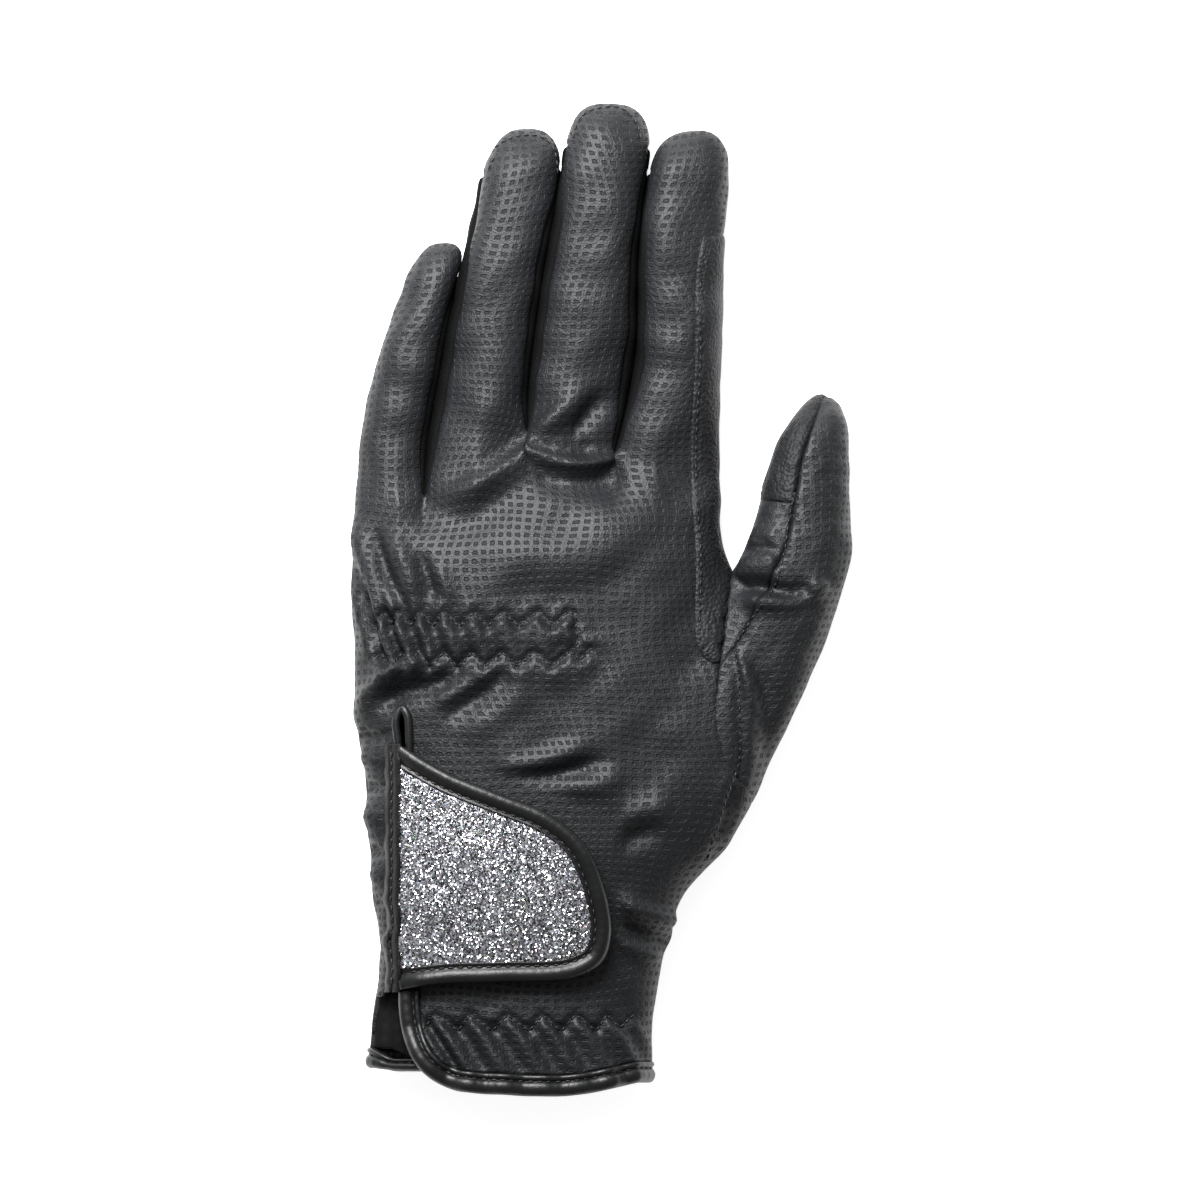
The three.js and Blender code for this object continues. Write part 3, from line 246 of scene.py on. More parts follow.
@dataclass(frozen=True)
class HandForm:
    """The hand and four fingers as smooth forms, the same as the part's own."""

    length: float = 161.0
    width: float = 89.0
    depth: float = 29.0
    middle_reach: float = 77.7
    roundness: float = 2.5
    finger_roundness: float = 2.3
    widest_at: float = 0.46
    seam: float = 30.0
    squash: float = 1.1
    ridge: float = 0.8
    clearance: float = 0.5
    wall_end: float = 0.87
    root_blend: float = 0.3
    dips: tuple[float, float] = (-4.2, 3.4)
    # up, left, right, depth
    sections: tuple = (
        (0.0, -0.47, 0.305, 0.98), (0.04, -0.466, 0.305, 0.96), (0.1, -0.457, 0.303, 0.92),
        (0.145, -0.446, 0.313, 0.9), (0.18, -0.437, 0.324, 0.9), (0.21, -0.433, 0.335, 0.91),
        (0.235, -0.434, 0.354, 0.93), (0.262, -0.44, 0.3606, 0.95), (0.294, -0.453, 0.381, 0.97),
        (0.323, -0.455, 0.412, 0.98), (0.368, -0.461, 0.475, 1.0), (0.41, -0.468, 0.52, 1.0),
        (0.458, -0.47, 0.565, 1.0), (0.502, -0.48, 0.564, 0.99), (0.54, -0.492, 0.558, 0.98),
        (0.565, -0.504, 0.552, 0.97), (0.6, -0.503, 0.541, 0.96), (0.666, -0.502, 0.5204, 0.93),
        (0.741, -0.512, 0.5, 0.9), (0.8, -0.509, 0.488, 0.86), (0.856, -0.505, 0.479, 0.8),
        (0.89, -0.501, 0.481, 0.75), (0.926, -0.495, 0.4775, 0.7), (1.0, -0.482, 0.474, 0.62),
    )
    # The lines between the fingers: up and side of the crotch, then along and side from there
    lines: tuple = (
        (0.885, -0.5, ((0, 0), (0.222, 0.017), (0.395, 0.048), (0.568, 0.096), (0.66, 0.126),
                       (0.8, 0.162))),
        (0.897, -0.3128, ((0, 0), (0.167, 0.011), (0.345, 0.038), (0.552, 0.07), (0.719, 0.103),
                          (0.885, 0.135), (1.15, 0.18))),
        (0.99, -0.0337, ((0, 0), (0.1635, 0.004), (0.33, 0.023), (0.497, 0.044), (0.66, 0.0695),
                         (0.833, 0.092), (1.0, 0.108))),
        (0.957, 0.1995, ((0, 0), (0.083, 0.019), (0.167, 0.036), (0.33, 0.059), (0.58, 0.064),
                         (0.743, 0.074), (0.916, 0.096), (1.09, 0.112))),
        (0.926, 0.4775, ((0, 0), (0.188, 0), (0.478, 0.008), (0.694, 0.012), (0.8, 0.026),
                         (0.9, 0.032), (1.07, 0.036))),
    )
    # reach, depth, place of the tip across, length of the rounded end
    fingers: tuple = (
        (44.0, 15.0, -0.262, 0.11), (71.6, 17.0, -0.036, 0.14),
        (77.7, 18.0, 0.184, 0.14), (71.0, 17.5, 0.413, 0.125),
    )
    finger_depths: tuple = ((0, 1.02), (0.3, 1), (0.6, 0.98), (0.85, 0.86), (1, 0.72))
    back_hem: tuple = (0.074, 0.043, 0.034, 0.034, 0.053)
    palm_hem: tuple = (0.074, 0.066, 0.058, 0.052, 0.053)

    def place(self, side: float, up: float) -> tuple[float, float]:
        """A place given as shares of the hand's width and length."""
        return side * self.width, up * self.length

    def section(self, y: Array) -> tuple[Array, Array, Array]:
        """Left edge, right edge and depth of the hand at a height y."""
        ups, *columns = zip(*self.sections)
        left, right, depth = (through(ups, column, y / self.length) for column in columns)
        return left * self.width, right * self.width, depth * self.depth

    def finger_line(self, number: int, y: Array) -> Array:
        """The line between two fingers at a height y."""
        up, side, rows = self.lines[number]
        along, sides = zip(*rows)
        curve = through(along, sides, (y - up * self.length) / self.middle_reach)
        return (side + curve) * self.width

    def crotch(self, lane: Array) -> Array:
        """Height of the hand's last row across the lanes."""
        return through(range(5), [line[0] for line in self.lines], lane) * self.length

    def lift(self, depth: Array, share: Array, floor: Array) -> Array:
        """Height of a section's point; the table flattens its lower half."""
        middle = depth * self.widest_at
        reach = np.where(share > 0, depth - middle, middle * self.squash)
        return np.maximum(floor, middle + share * reach)

    def floor(self, y: Array) -> Array:
        """How high the palm lies at a height y, which is more at the hem's ridge."""
        return self.ridge * (1 - rise(y / self.length, 0.06, 0.15))

    def lane_share(self, lane: Array, row: Array) -> Array:
        """Share across the section of a lane, even at the wrist and fanned at the fingers."""
        edge = float(bowed(np.radians(self.seam), self.roundness)[0])
        shares = [-edge]
        for n in (1, 2, 3):
            y = self.crotch(n)
            left, right, _ = self.section(y)
            shares.append(float(2 * (self.finger_line(n, y) - left) / (right - left) - 1))
        shares = np.array([*shares, edge])
        low = np.minimum(3, np.floor(lane)).astype(int)
        fan = mix(shares[low], shares[low + 1], lane - low)
        return mix(mix(-edge, edge, lane / 4), fan, rise(row, 0.25, 1))

    def point(self, lane: Array, row: Array, on_back: bool) -> Array:
        """A point of the hand's back or palm.

        Args:
            lane: Place across, 0 to 4, one lane for each finger.
            row: Share of the way from the hem to the crotches.
            on_back: On the back, or else on the palm.

        Returns:
            The points, with the shape that lane and row give together.
        """
        lane, row = np.broadcast_arrays(np.asarray(lane, float), np.asarray(row, float))
        hem = through(range(5), self.back_hem if on_back else self.palm_hem, lane) * self.length
        y = mix(hem, self.crotch(lane), row)
        left, right, depth = self.section(y)
        u = self.lane_share(lane, row)
        share = (1 - np.minimum(1, np.abs(u)) ** self.roundness) ** (1 / self.roundness)
        nearest = np.clip(np.round(lane), 1, 3)
        away = np.minimum(1, np.abs(lane - nearest) * 2)
        dip = self.dips[0 if on_back else 1] * (1 - away**0.9) * rise(row, 0.86, 1) ** 1.5
        z = self.lift(depth, share if on_back else -share, self.floor(y)) + dip
        return np.stack([(left + right) / 2 + (right - left) / 2 * u, y, z], axis=-1)

    def side(self, right: bool, angle: Array, row: Array) -> Array:
        """A point on the hand's side, at an angle in degrees from the middle of the side."""
        angle, row = np.broadcast_arrays(np.asarray(angle, float), np.asarray(row, float))
        lane = 4 if right else 0
        under = (1 - angle / self.seam) / 2
        hem = mix(self.back_hem[lane], self.palm_hem[lane], under) * self.length
        y = mix(hem, self.crotch(lane), row)
        a, b, depth = self.section(y)
        u, share = bowed(np.radians(angle), self.roundness)
        x = (a + b) / 2 + (b - a) / 2 * u * (1 if right else -1)
        return np.stack([x, y, self.lift(depth, share, self.floor(y))], axis=-1)

    def tube(self, finger: int, along: Array, angle: Array, y: Array) -> Array:
        """A point of a finger's tube."""
        reach, depth, tip, rounded = self.fingers[finger]
        half = self.clearance / 2
        left = self.finger_line(finger, y) + (half if finger > 0 else 0)
        right = self.finger_line(finger + 1, y) - (half if finger < 3 else 0)
        past = np.clip((y - self.length - reach) / (rounded * self.width) + 1, 0, 1)
        narrowing = (1 - past**2.6) ** (1 / 2.6)
        thinning = (1 - past**2) ** 0.5
        middle = mix((left + right) / 2, tip * self.width, past**2)
        across, share = bowed(angle, self.finger_roundness)
        full = depth * through(*zip(*self.finger_depths), along)
        centre = full * self.widest_at
        z = centre + share * thinning * np.where(share > 0, full - centre, centre * self.squash)
        x = middle + (right - left) / 2 * narrowing * across
        return np.stack([x, y, np.maximum(0, z)], axis=-1)

    def finger(self, finger: int, along: Array, roots: Array, angle: Array) -> Array:
        """Rows of a finger's skin, which grow out of the hand's last row into a tube.

        Args:
            finger: 0 for the little finger to 3 for the index.
            along: Share of the finger's length of each row, as a column.
            roots: The points of the hand that the columns start from.
            angle: Angle round the tube of each row and column, in degrees.

        Returns:
            Points by row and column.
        """
        end = self.length + self.fingers[finger][0]
        y = mix(roots[:, 1], end, along)
        opened = 1 - (1 - np.minimum(1, along / self.root_blend)) ** 2
        tube = self.tube(finger, along, np.radians(angle), y)
        drifts, starts = [], []
        for line in (finger, finger + 1):
            starts.append(self.finger_line(line, roots[:, 1]))
            drifts.append(self.finger_line(line, y) - starts[-1])
        t = np.clip((roots[:, 0] - starts[0]) / (starts[1] - starts[0]), 0, 1)
        x = roots[:, 0] + mix(drifts[0], drifts[1], t)
        grown = np.stack([x, y, np.broadcast_to(roots[:, 2], y.shape)], axis=-1)
        return mix(grown, tube, opened[..., None])

    def seam_angle(self, along: Array) -> Array:
        """Angle of the finger's seams, which close in on its middle towards the tip."""
        return self.seam * (1 - 0.7 * rise(along, 0.6, self.wall_end))

    def outside(self, points: Array) -> Array:
        """Rough distance of points outside the hand's body, negative inside."""
        step = 0.2
        reach = self._reach(points)
        slopes = [
            (self._reach(points + np.array(way) * step) - reach) / step
            for way in ((1, 0, 0), (0, 0, 1))
        ]
        distance = reach / np.maximum(0.02, np.hypot(*slopes))
        return np.maximum(distance, points[:, 1] - self.length)

    def _reach(self, points: Array) -> Array:
        """How far points are from the hand's middle as a share of its surface there, less 1."""
        left, right, depth = self.section(points[:, 1])
        middle = depth * self.widest_at
        up = points[:, 2] - middle
        share = np.abs(up / np.where(up > 0, depth - middle, middle * self.squash))
        u = np.abs((points[:, 0] - (left + right) / 2) / ((right - left) / 2))
        return (u**self.roundness + share**self.roundness) ** (1 / self.roundness) - 1


@dataclass(frozen=True)
class ThumbForm:
    """The thumb as a smooth tube along a bent line, the same as the part's own."""

    hand: HandForm = HandForm()
    length: float = 105.2
    width: float = 26.0
    depth: float = 0.7586 * 29.0
    palm_seam: float = -95.0
    root_radius: float = 8.0
    # side, up, width, depth, middle, angle of the upper seam
    sections: tuple = (
        (0.38, 0.438, 0.95, 0.76, 0.64, 140), (0.495, 0.54, 0.955, 0.86, 0.62, 137),
        (0.587, 0.6275, 0.915, 0.93, 0.58, 130), (0.642, 0.7095, 0.945, 0.98, 0.56, 117),
        (0.681, 0.781, 0.975, 0.99, 0.55, 106), (0.702, 0.817, 0.955, 0.97, 0.53, 104),
        (0.714, 0.8728, 0.84, 0.9, 0.5, 102), (0.733, 0.9473, 0.7, 0.8, 0.45, 102),
        (0.7515, 0.985, 0.57, 0.7, 0.41, 104), (0.763, 1.009, 0.46, 0.58, 0.36, 106),
        (0.77, 1.027, 0.34, 0.43, 0.31, 108), (0.774, 1.039, 0.22, 0.27, 0.28, 110),
        (0.7765, 1.045, 0.1, 0.12, 0.27, 110),
    )

    def table(self) -> tuple[Array, list[Array]]:
        """Share of the thumb's length of each section, and the sections' columns in millimetres."""
        side, up, width, depth, middle, seam = np.array(self.sections).T
        x, y = side * self.hand.width, up * self.hand.length
        walked = lengths_along(np.stack([x, y], axis=1))
        stretch = self.length / walked[-1]
        x, y = x[0] + (x - x[0]) * stretch, y[0] + (y - y[0]) * stretch
        columns = [x, y, width * self.width / 2, depth * self.depth / 2, middle * self.depth, seam]
        return walked / walked[-1], columns

    def rings(self, along: Array, angle: Array) -> Array:
        """Points of the thumb's skin.

        Args:
            along: Share of the thumb's length of each row, as a column.
            angle: Angle in degrees of each row and column, from the thumb's outer side.

        Returns:
            Points by row and column.
        """
        keys, columns = self.table()
        x, y, half, rise_, middle, _ = (through(keys, column, along) for column in columns)
        before, after = np.maximum(0, along - 0.002), np.minimum(1, along + 0.002)
        ways = [through(keys, c, after) - through(keys, c, before) for c in columns[:2]]
        norm = np.hypot(*ways)
        across, above = bowed(np.radians(angle), self.hand.finger_roundness)
        out = half * across
        z = np.maximum(0, middle + rise_ * above)
        points = np.stack([x + ways[1] / norm * out, y - ways[0] / norm * out, z], axis=-1)
        points[along[:, 0] >= 1] = [columns[0][-1], columns[1][-1], columns[4][-1]]
        return points

    def seam_at(self, along: Array) -> Array:
        """Angle of the upper seam along the thumb."""
        keys, columns = self.table()
        return through(keys, columns[5], along)

    def outside(self, points: Array) -> Array:
        """Rough distance of points outside the thumb's tube, negative inside."""
        keys, columns = self.table()
        at = np.linspace(0, 0.98, 160)
        x, y, half, rise_, middle, _ = (through(keys, column, at) for column in columns)
        gap = np.hypot(points[:, :1] - x, points[:, 1:2] - y)
        i = gap.argmin(axis=1)
        shares = (gap[np.arange(len(i)), i] / half[i], np.abs(points[:, 2] - middle[i]) / rise_[i])
        n = self.hand.finger_roundness
        return ((shares[0] ** n + shares[1] ** n) ** (1 / n) - 1) * np.minimum(half[i], rise_[i])


# Sheets of leather


@dataclass
class Patch:
    """A grid of points of one panel, with its place across for the embossed pattern."""

    panel: Panel
    points: Array
    across: Array
    keep: Array | None = None


@dataclass
class Sheet:
    """A thin surface with the smooth normals along which it is moved and thickened."""

    points: Array
    normals: Array
    pattern: Array
    seams: Array
    room: Array
    triangles: Array

    def chosen(self, keep: Array) -> "Sheet":
        """The sheet with only some of its triangles."""
        triangles = self.triangles[keep]
        used, index = np.unique(triangles, return_inverse=True)
        return Sheet(
            self.points[used], self.normals[used], self.pattern[used], self.seams[used],
            self.room[used], index.reshape(-1, 3),
        )

    def trimmed(self, room: Array) -> "Sheet":
        """The part of the sheet with positive room, with its edge drawn to the zero line.

        Args:
            room: A number at each point, which falls through zero at the wanted edge.
        """
        edges = np.unique(np.sort(sides_of(self.triangles), axis=1), axis=0)
        edges = edges[(room[edges[:, 0]] > 0) != (room[edges[:, 1]] > 0)]
        share = room[edges[:, 0]] / (room[edges[:, 0]] - room[edges[:, 1]])
        first = share < 0.5
        who = np.where(first, edges[:, 0], edges[:, 1])
        other = np.where(first, edges[:, 1], edges[:, 0])
        share = np.where(first, share, 1 - share)
        order = np.argsort(-share)
        who, other, share = who[order], other[order], share[order, None]
        fields = []
        for data in (
            self.points, self.normals, self.pattern, self.seams[:, None], self.room[:, None],
        ):
            moved = data.copy()
            moved[who] = data[who] * (1 - share) + data[other] * share
            fields.append(moved)
        level = room.copy()
        level[who] = 0
        total = level[self.triangles].sum(axis=1)
        keep = np.where(total == 0, room[self.triangles].mean(axis=1) > 0, total > 0)
        whole = Sheet(*fields[:3], fields[3][:, 0], fields[4][:, 0], self.triangles)
        return whole.chosen(keep)

    def moved(self, distance: Array | float) -> "Sheet":
        """The sheet moved outwards along its normals."""
        distance = np.broadcast_to(np.asarray(distance, float), len(self.points))
        return Sheet(
            self.points + self.normals * distance[:, None], self.normals, self.pattern, self.seams,
            self.room, self.triangles,
        )

    def edge_distance(self) -> Array:
        """Distance of each point from the sheet's own edge."""
        rim = rim_of(self.triangles)
        return distance_to(self.points[np.unique(rim)], self.points)

    def solid(self, thickness: Array | float) -> tuple[Array, Array, Array]:
        """A closed skin of some thickness under the sheet.

        Args:
            thickness: One number, or one for each point.

        Returns:
            Its points, triangles and pattern places.
        """
        thickness = np.broadcast_to(np.asarray(thickness, float), len(self.points))
        under = self.points - self.normals * thickness[:, None]
        under[:, 2] = np.maximum(under[:, 2], 0.02)
        n = len(self.points)
        rim = rim_of(self.triangles)
        a, b = rim[:, 0], rim[:, 1]
        walls = [np.stack([b, a, a + n], axis=1), np.stack([b, a + n, b + n], axis=1)]
        triangles = np.concatenate([self.triangles, self.triangles[:, ::-1] + n, *walls])
        return np.concatenate([self.points, under]), triangles, np.concatenate([self.pattern] * 2)


def sides_of(triangles: Array) -> Array:
    """The three directed edges of each triangle."""
    return np.concatenate([triangles[:, [0, 1]], triangles[:, [1, 2]], triangles[:, [2, 0]]])


def rim_of(triangles: Array) -> Array:
    """The directed edges that only one triangle has."""
    edges = sides_of(triangles)
    size = int(triangles.max()) + 1
    forward, backward = edges[:, 0] * size + edges[:, 1], edges[:, 1] * size + edges[:, 0]
    return edges[~np.isin(forward, backward)]


def distance_to(targets: Array, points: Array) -> Array:
    """Distance of each point to the nearest target."""
    tree = KDTree(len(targets))
    for i, target in enumerate(targets):
        tree.insert(target, i)
    tree.balance()
    return np.array([tree.find(point)[2] for point in points])


class Skin:
    """A closed skin made of patches that share their edges."""

    def __init__(self, patches: list[Patch]) -> None:
        """Joins the patches and finds the smooth normals and the seams between panels.

        Args:
            patches: Grids whose shared edges have the same points.
        """
        flat = np.concatenate([patch.points.reshape(-1, 3) for patch in patches])
        _, first, index = np.unique(
            np.round(flat, 4) + 0.0, axis=0, return_index=True, return_inverse=True
        )
        index = index.ravel()
        self.points = flat[first]
        self.patches = patches
        self.grids: list[Array] = []
        triangles, owners, start = [], [], 0
        for patch in patches:
            rows, columns = patch.points.shape[:2]
            grid = index[start:start + rows * columns].reshape(rows, columns)
            start += rows * columns
            self.grids.append(grid)
            made = self._split(grid, patch.keep)
            triangles.append(made)
            owners.extend([patch.panel] * len(made))
        self.triangles = np.concatenate(triangles)
        self.owners = np.array([list(Panel).index(owner) for owner in owners])
        self.normals = self._normals(self.points)
        self.seam_points = self._seam_points()
        self.seams = distance_to(self.points[self.seam_points], self.points)
        self.smooth = self.points
        # How far the leather's pattern is carried sideways at each point
        self.slide = np.zeros(len(self.points))
        # How far each point is from another body that the skin runs into
        self.room = np.full(len(self.points), 9.0)

    def _split(self, grid: Array, keep: Array | None) -> Array:
        """Triangles of a grid, each quad split along its shorter diagonal."""
        a, b, c, d = grid[:-1, :-1], grid[:-1, 1:], grid[1:, 1:], grid[1:, :-1]
        if keep is not None:
            a, b, c, d = (corner[keep] for corner in (a, b, c, d))
        a, b, c, d = (corner.ravel() for corner in (a, b, c, d))
        p = self.points
        short = np.linalg.norm(p[a] - p[c], axis=1) < np.linalg.norm(p[b] - p[d], axis=1)
        one = np.where(short[:, None], np.stack([a, b, c], axis=1), np.stack([a, b, d], axis=1))
        two = np.where(short[:, None], np.stack([a, c, d], axis=1), np.stack([b, c, d], axis=1))
        made = np.concatenate([one, two])
        flat = (made[:, 0] == made[:, 1]) | (made[:, 1] == made[:, 2]) | (made[:, 2] == made[:, 0])
        return made[~flat]

    def _normals(self, points: Array) -> Array:
        """Smooth normals at the points."""
        a, b, c = (points[self.triangles[:, k]] for k in range(3))
        facing = np.cross(b - a, c - a)
        total = np.zeros_like(points)
        for k in range(3):
            for axis in range(3):
                total[:, axis] += np.bincount(self.triangles[:, k], facing[:, axis], len(points))
        return total / np.maximum(1e-9, np.linalg.norm(total, axis=1))[:, None]

    def _seam_points(self) -> Array:
        """Points where two panels meet."""
        count = np.zeros(len(self.points), int)
        for owner in np.unique(self.owners):
            used = np.unique(self.triangles[self.owners == owner])
            count[used] += 1
        return np.nonzero(count > 1)[0]

    def raise_by(self, height: Array) -> None:
        """Moves the skin outwards along its smooth normals, which it keeps for its thickness."""
        self.smooth = self.points.copy()
        self.points = self.points + self.normals * height[:, None]
        self.points[:, 2] = np.maximum(self.points[:, 2], 0.0)

    def sheet(self, *panels: Panel) -> Sheet:
        """The skin of some panels as one sheet, with the first patch's pattern at each point."""
        numbers = [list(Panel).index(panel) for panel in panels]
        pattern = np.zeros((len(self.points), 2))
        for patch, grid in zip(self.patches, self.grids):
            if patch.panel in panels:
                places = [patch.across.ravel(), patch.points[..., 1].ravel()]
                pattern[grid.ravel()] = np.stack(places, axis=1)
        pattern[:, 0] -= self.slide
        whole = Sheet(self.points, self.normals, pattern, self.seams, self.room, self.triangles)
        return whole.chosen(np.isin(self.owners, numbers))


# The least upward share of a normal that a layer's height is still measured square to
STEEPEST = 0.45


class Surface:
    """A surface that other pieces are laid on from above."""

    def __init__(self, points: Array, triangles: Array) -> None:
        """Keeps the surface in a search tree.

        Args:
            points: Its points.
            triangles: Its triangles.
        """
        self.tree = BVHTree.FromPolygons(points.tolist(), triangles.tolist())

    def drop(self, places: Array) -> tuple[Array, Array]:
        """Drops places straight down on the surface.

        Args:
            places: Flat places.

        Returns:
            The points below them and the normals there.
        """
        points, normals = np.zeros((len(places), 3)), np.zeros((len(places), 3))
        down = Vector((0, 0, -1))
        for i, (x, y) in enumerate(places):
            hit, normal, _, _ = self.tree.ray_cast(Vector((x, y, 200)), down)
            if hit is None:
                hit, normal, _, _ = self.tree.find_nearest(Vector((x, y, 12)))
            points[i], normals[i] = hit, normal
        return points, normals

    def lifted(self, places: Array, height: Array | float) -> tuple[Array, Array]:
        """Points straight above flat places, and the surface's normals there.

        Args:
            places: Flat places.
            height: Height of the points, measured square to the surface.
        """
        points, normals = self.drop(places)
        points[:, 2] += height / np.maximum(STEEPEST, normals[:, 2])
        return points, normals

    def raised(self, places: Array, height: Array | float) -> Array:
        """The same points without the normals."""
        return self.lifted(places, height)[0]


# Relief of the leather


@dataclass(frozen=True)
class Fold:
    """A ridge, or with a negative height a valley, along a path on the leather."""

    height: float
    width: float
    path: Places
    right_width: float = 0.0
    fade: float = 0.25

    def heights(self, places: Array) -> Array:
        """Height of the fold at flat places."""
        path = smooth_path(self.path, 8 * (len(self.path) - 1))
        distance, share, side = beside_path(path, places)
        width = np.where(side > 0, self.width, self.right_width or self.width)
        fade = rise(share, 0, self.fade) * (1 - rise(share, 1 - self.fade, 1))
        return self.height * np.exp(-((distance / width) ** 2)) * fade


@dataclass(frozen=True)
class Zigzag:
    """A stitched zigzag in elastic thread, with the leather gathered into teeth below it."""

    path: Places
    depths: tuple[float, float] = (2.3, 1.5)
    groove: float = 0.6
    # Widths of the rounded shoulders below and above the line, and how high the upper one is
    shoulders: tuple[float, float] = (1.25, 1.6)
    above: float = 0.45
    reach_below: float = 4.2
    reach_above: float = 3.0

    def heights(self, places: Array) -> Array:
        """Height of the teeth and of the stitched groove at flat places."""
        path = np.array(self.path)
        distance, share, _ = beside_path(path, places)
        below = places[:, 1] < self._line_at(path, places[:, 0])
        depth = mix(*self.depths, share)
        ends = rise(share, 0.0, 0.03) * (1 - rise(share, 0.97, 1.0))
        teeth, slope = (
            depth * (1 - np.exp(-((distance / width) ** 1.6))) * np.exp(-((distance / reach) ** 2))
            for width, reach in zip(self.shoulders, (self.reach_below, self.reach_above))
        )
        groove = -self.groove * np.exp(-(distance**2))
        return np.where(below, teeth, self.above * slope) * ends + groove * (0.5 + 0.5 * ends)

    def _line_at(self, path: Array, x: Array) -> Array:
        """Height of the line at places across, over the part of it that runs rightwards."""
        last = int(np.argmax(path[:, 0])) + 1
        return np.interp(x, path[:last, 0], path[:last, 1])


@dataclass(frozen=True)
class Gathers:
    """Ribs of gathered leather that start at an elastic line and fade away from it."""

    ribs: Sequence[float]
    middle: float
    lean: float
    low: tuple[float, float]
    high: tuple[float, float]
    depths: tuple[float, float]
    fan: float = 0.0

    def heights(self, places: Array) -> Array:
        """Height of the ribs at flat places."""
        x, y = places[:, 0], places[:, 1]
        across = x + self.lean * (y - self.middle)
        # Beyond the band the ribs spread out to the left
        across = across + self.fan * np.maximum(0, y - self.high[0])
        phase = np.interp(across, self.ribs, np.arange(len(self.ribs)))
        share = np.clip((across - self.ribs[0]) / (self.ribs[-1] - self.ribs[0]), 0, 1)
        reach = mix(1.15, 0.25, share)
        up = 1 - rise((y - self.high[0]) / reach, 0, self.high[1] - self.high[0])
        down = rise(y, *self.low)
        first, last = self.ribs[0], self.ribs[-1]
        ends = (1 - rise(across, last - 1.0, last + 2.0)) * rise(across, first - 2, first)
        wave = 0.5 * np.cos(2 * math.pi * phase) - 0.1
        return mix(self.depths[0], self.depths[1], share**0.6) * wave * up * down * ends


UPPER_ZIGZAG = (
    (-39.8, 114.0), (-37.4, 116.2), (-35.8, 113.3), (-34.1, 116.4), (-31.4, 112.8), (-28.8, 116.4),
    (-25.9, 112.8), (-23.0, 116.4), (-19.4, 112.8), (-15.8, 116.4), (-12.7, 112.8), (-8.9, 116.4),
    (-5.0, 112.8), (-0.7, 116.4), (2.9, 112.8), (6.7, 116.4), (8.2, 115.9), (8.9, 114.0),
    (8.4, 112.1),
    (9.1, 110.2), (8.6, 107.8),
)
LOWER_ZIGZAG = (
    (-40.6, 103.9), (-38.4, 106.3), (-35.8, 103.4), (-32.9, 106.6), (-31.2, 103.9), (-29.3, 106.8),
    (-26.4, 103.4), (-23.0, 106.8), (-19.7, 103.2), (-16.3, 106.8), (-13.4, 103.2), (-9.1, 106.8),
    (-5.5, 103.2), (-1.4, 106.8), (2.9, 103.4), (7.2, 107.0), (9.6, 104.9), (12.0, 107.3),
)
CUFF_ZIGZAG = (
    (-28.3, 16.1), (-25.2, 19.7), (-19.7, 15.8), (-16.8, 19.7), (-11.5, 15.8), (-7.9, 19.7),
    (-2.6, 15.8), (0.5, 19.7), (5.0, 15.8), (8.6, 19.7), (13.4, 15.8), (16.1, 19.7), (19.2, 16.6),
    (22.6, 19.9),
)

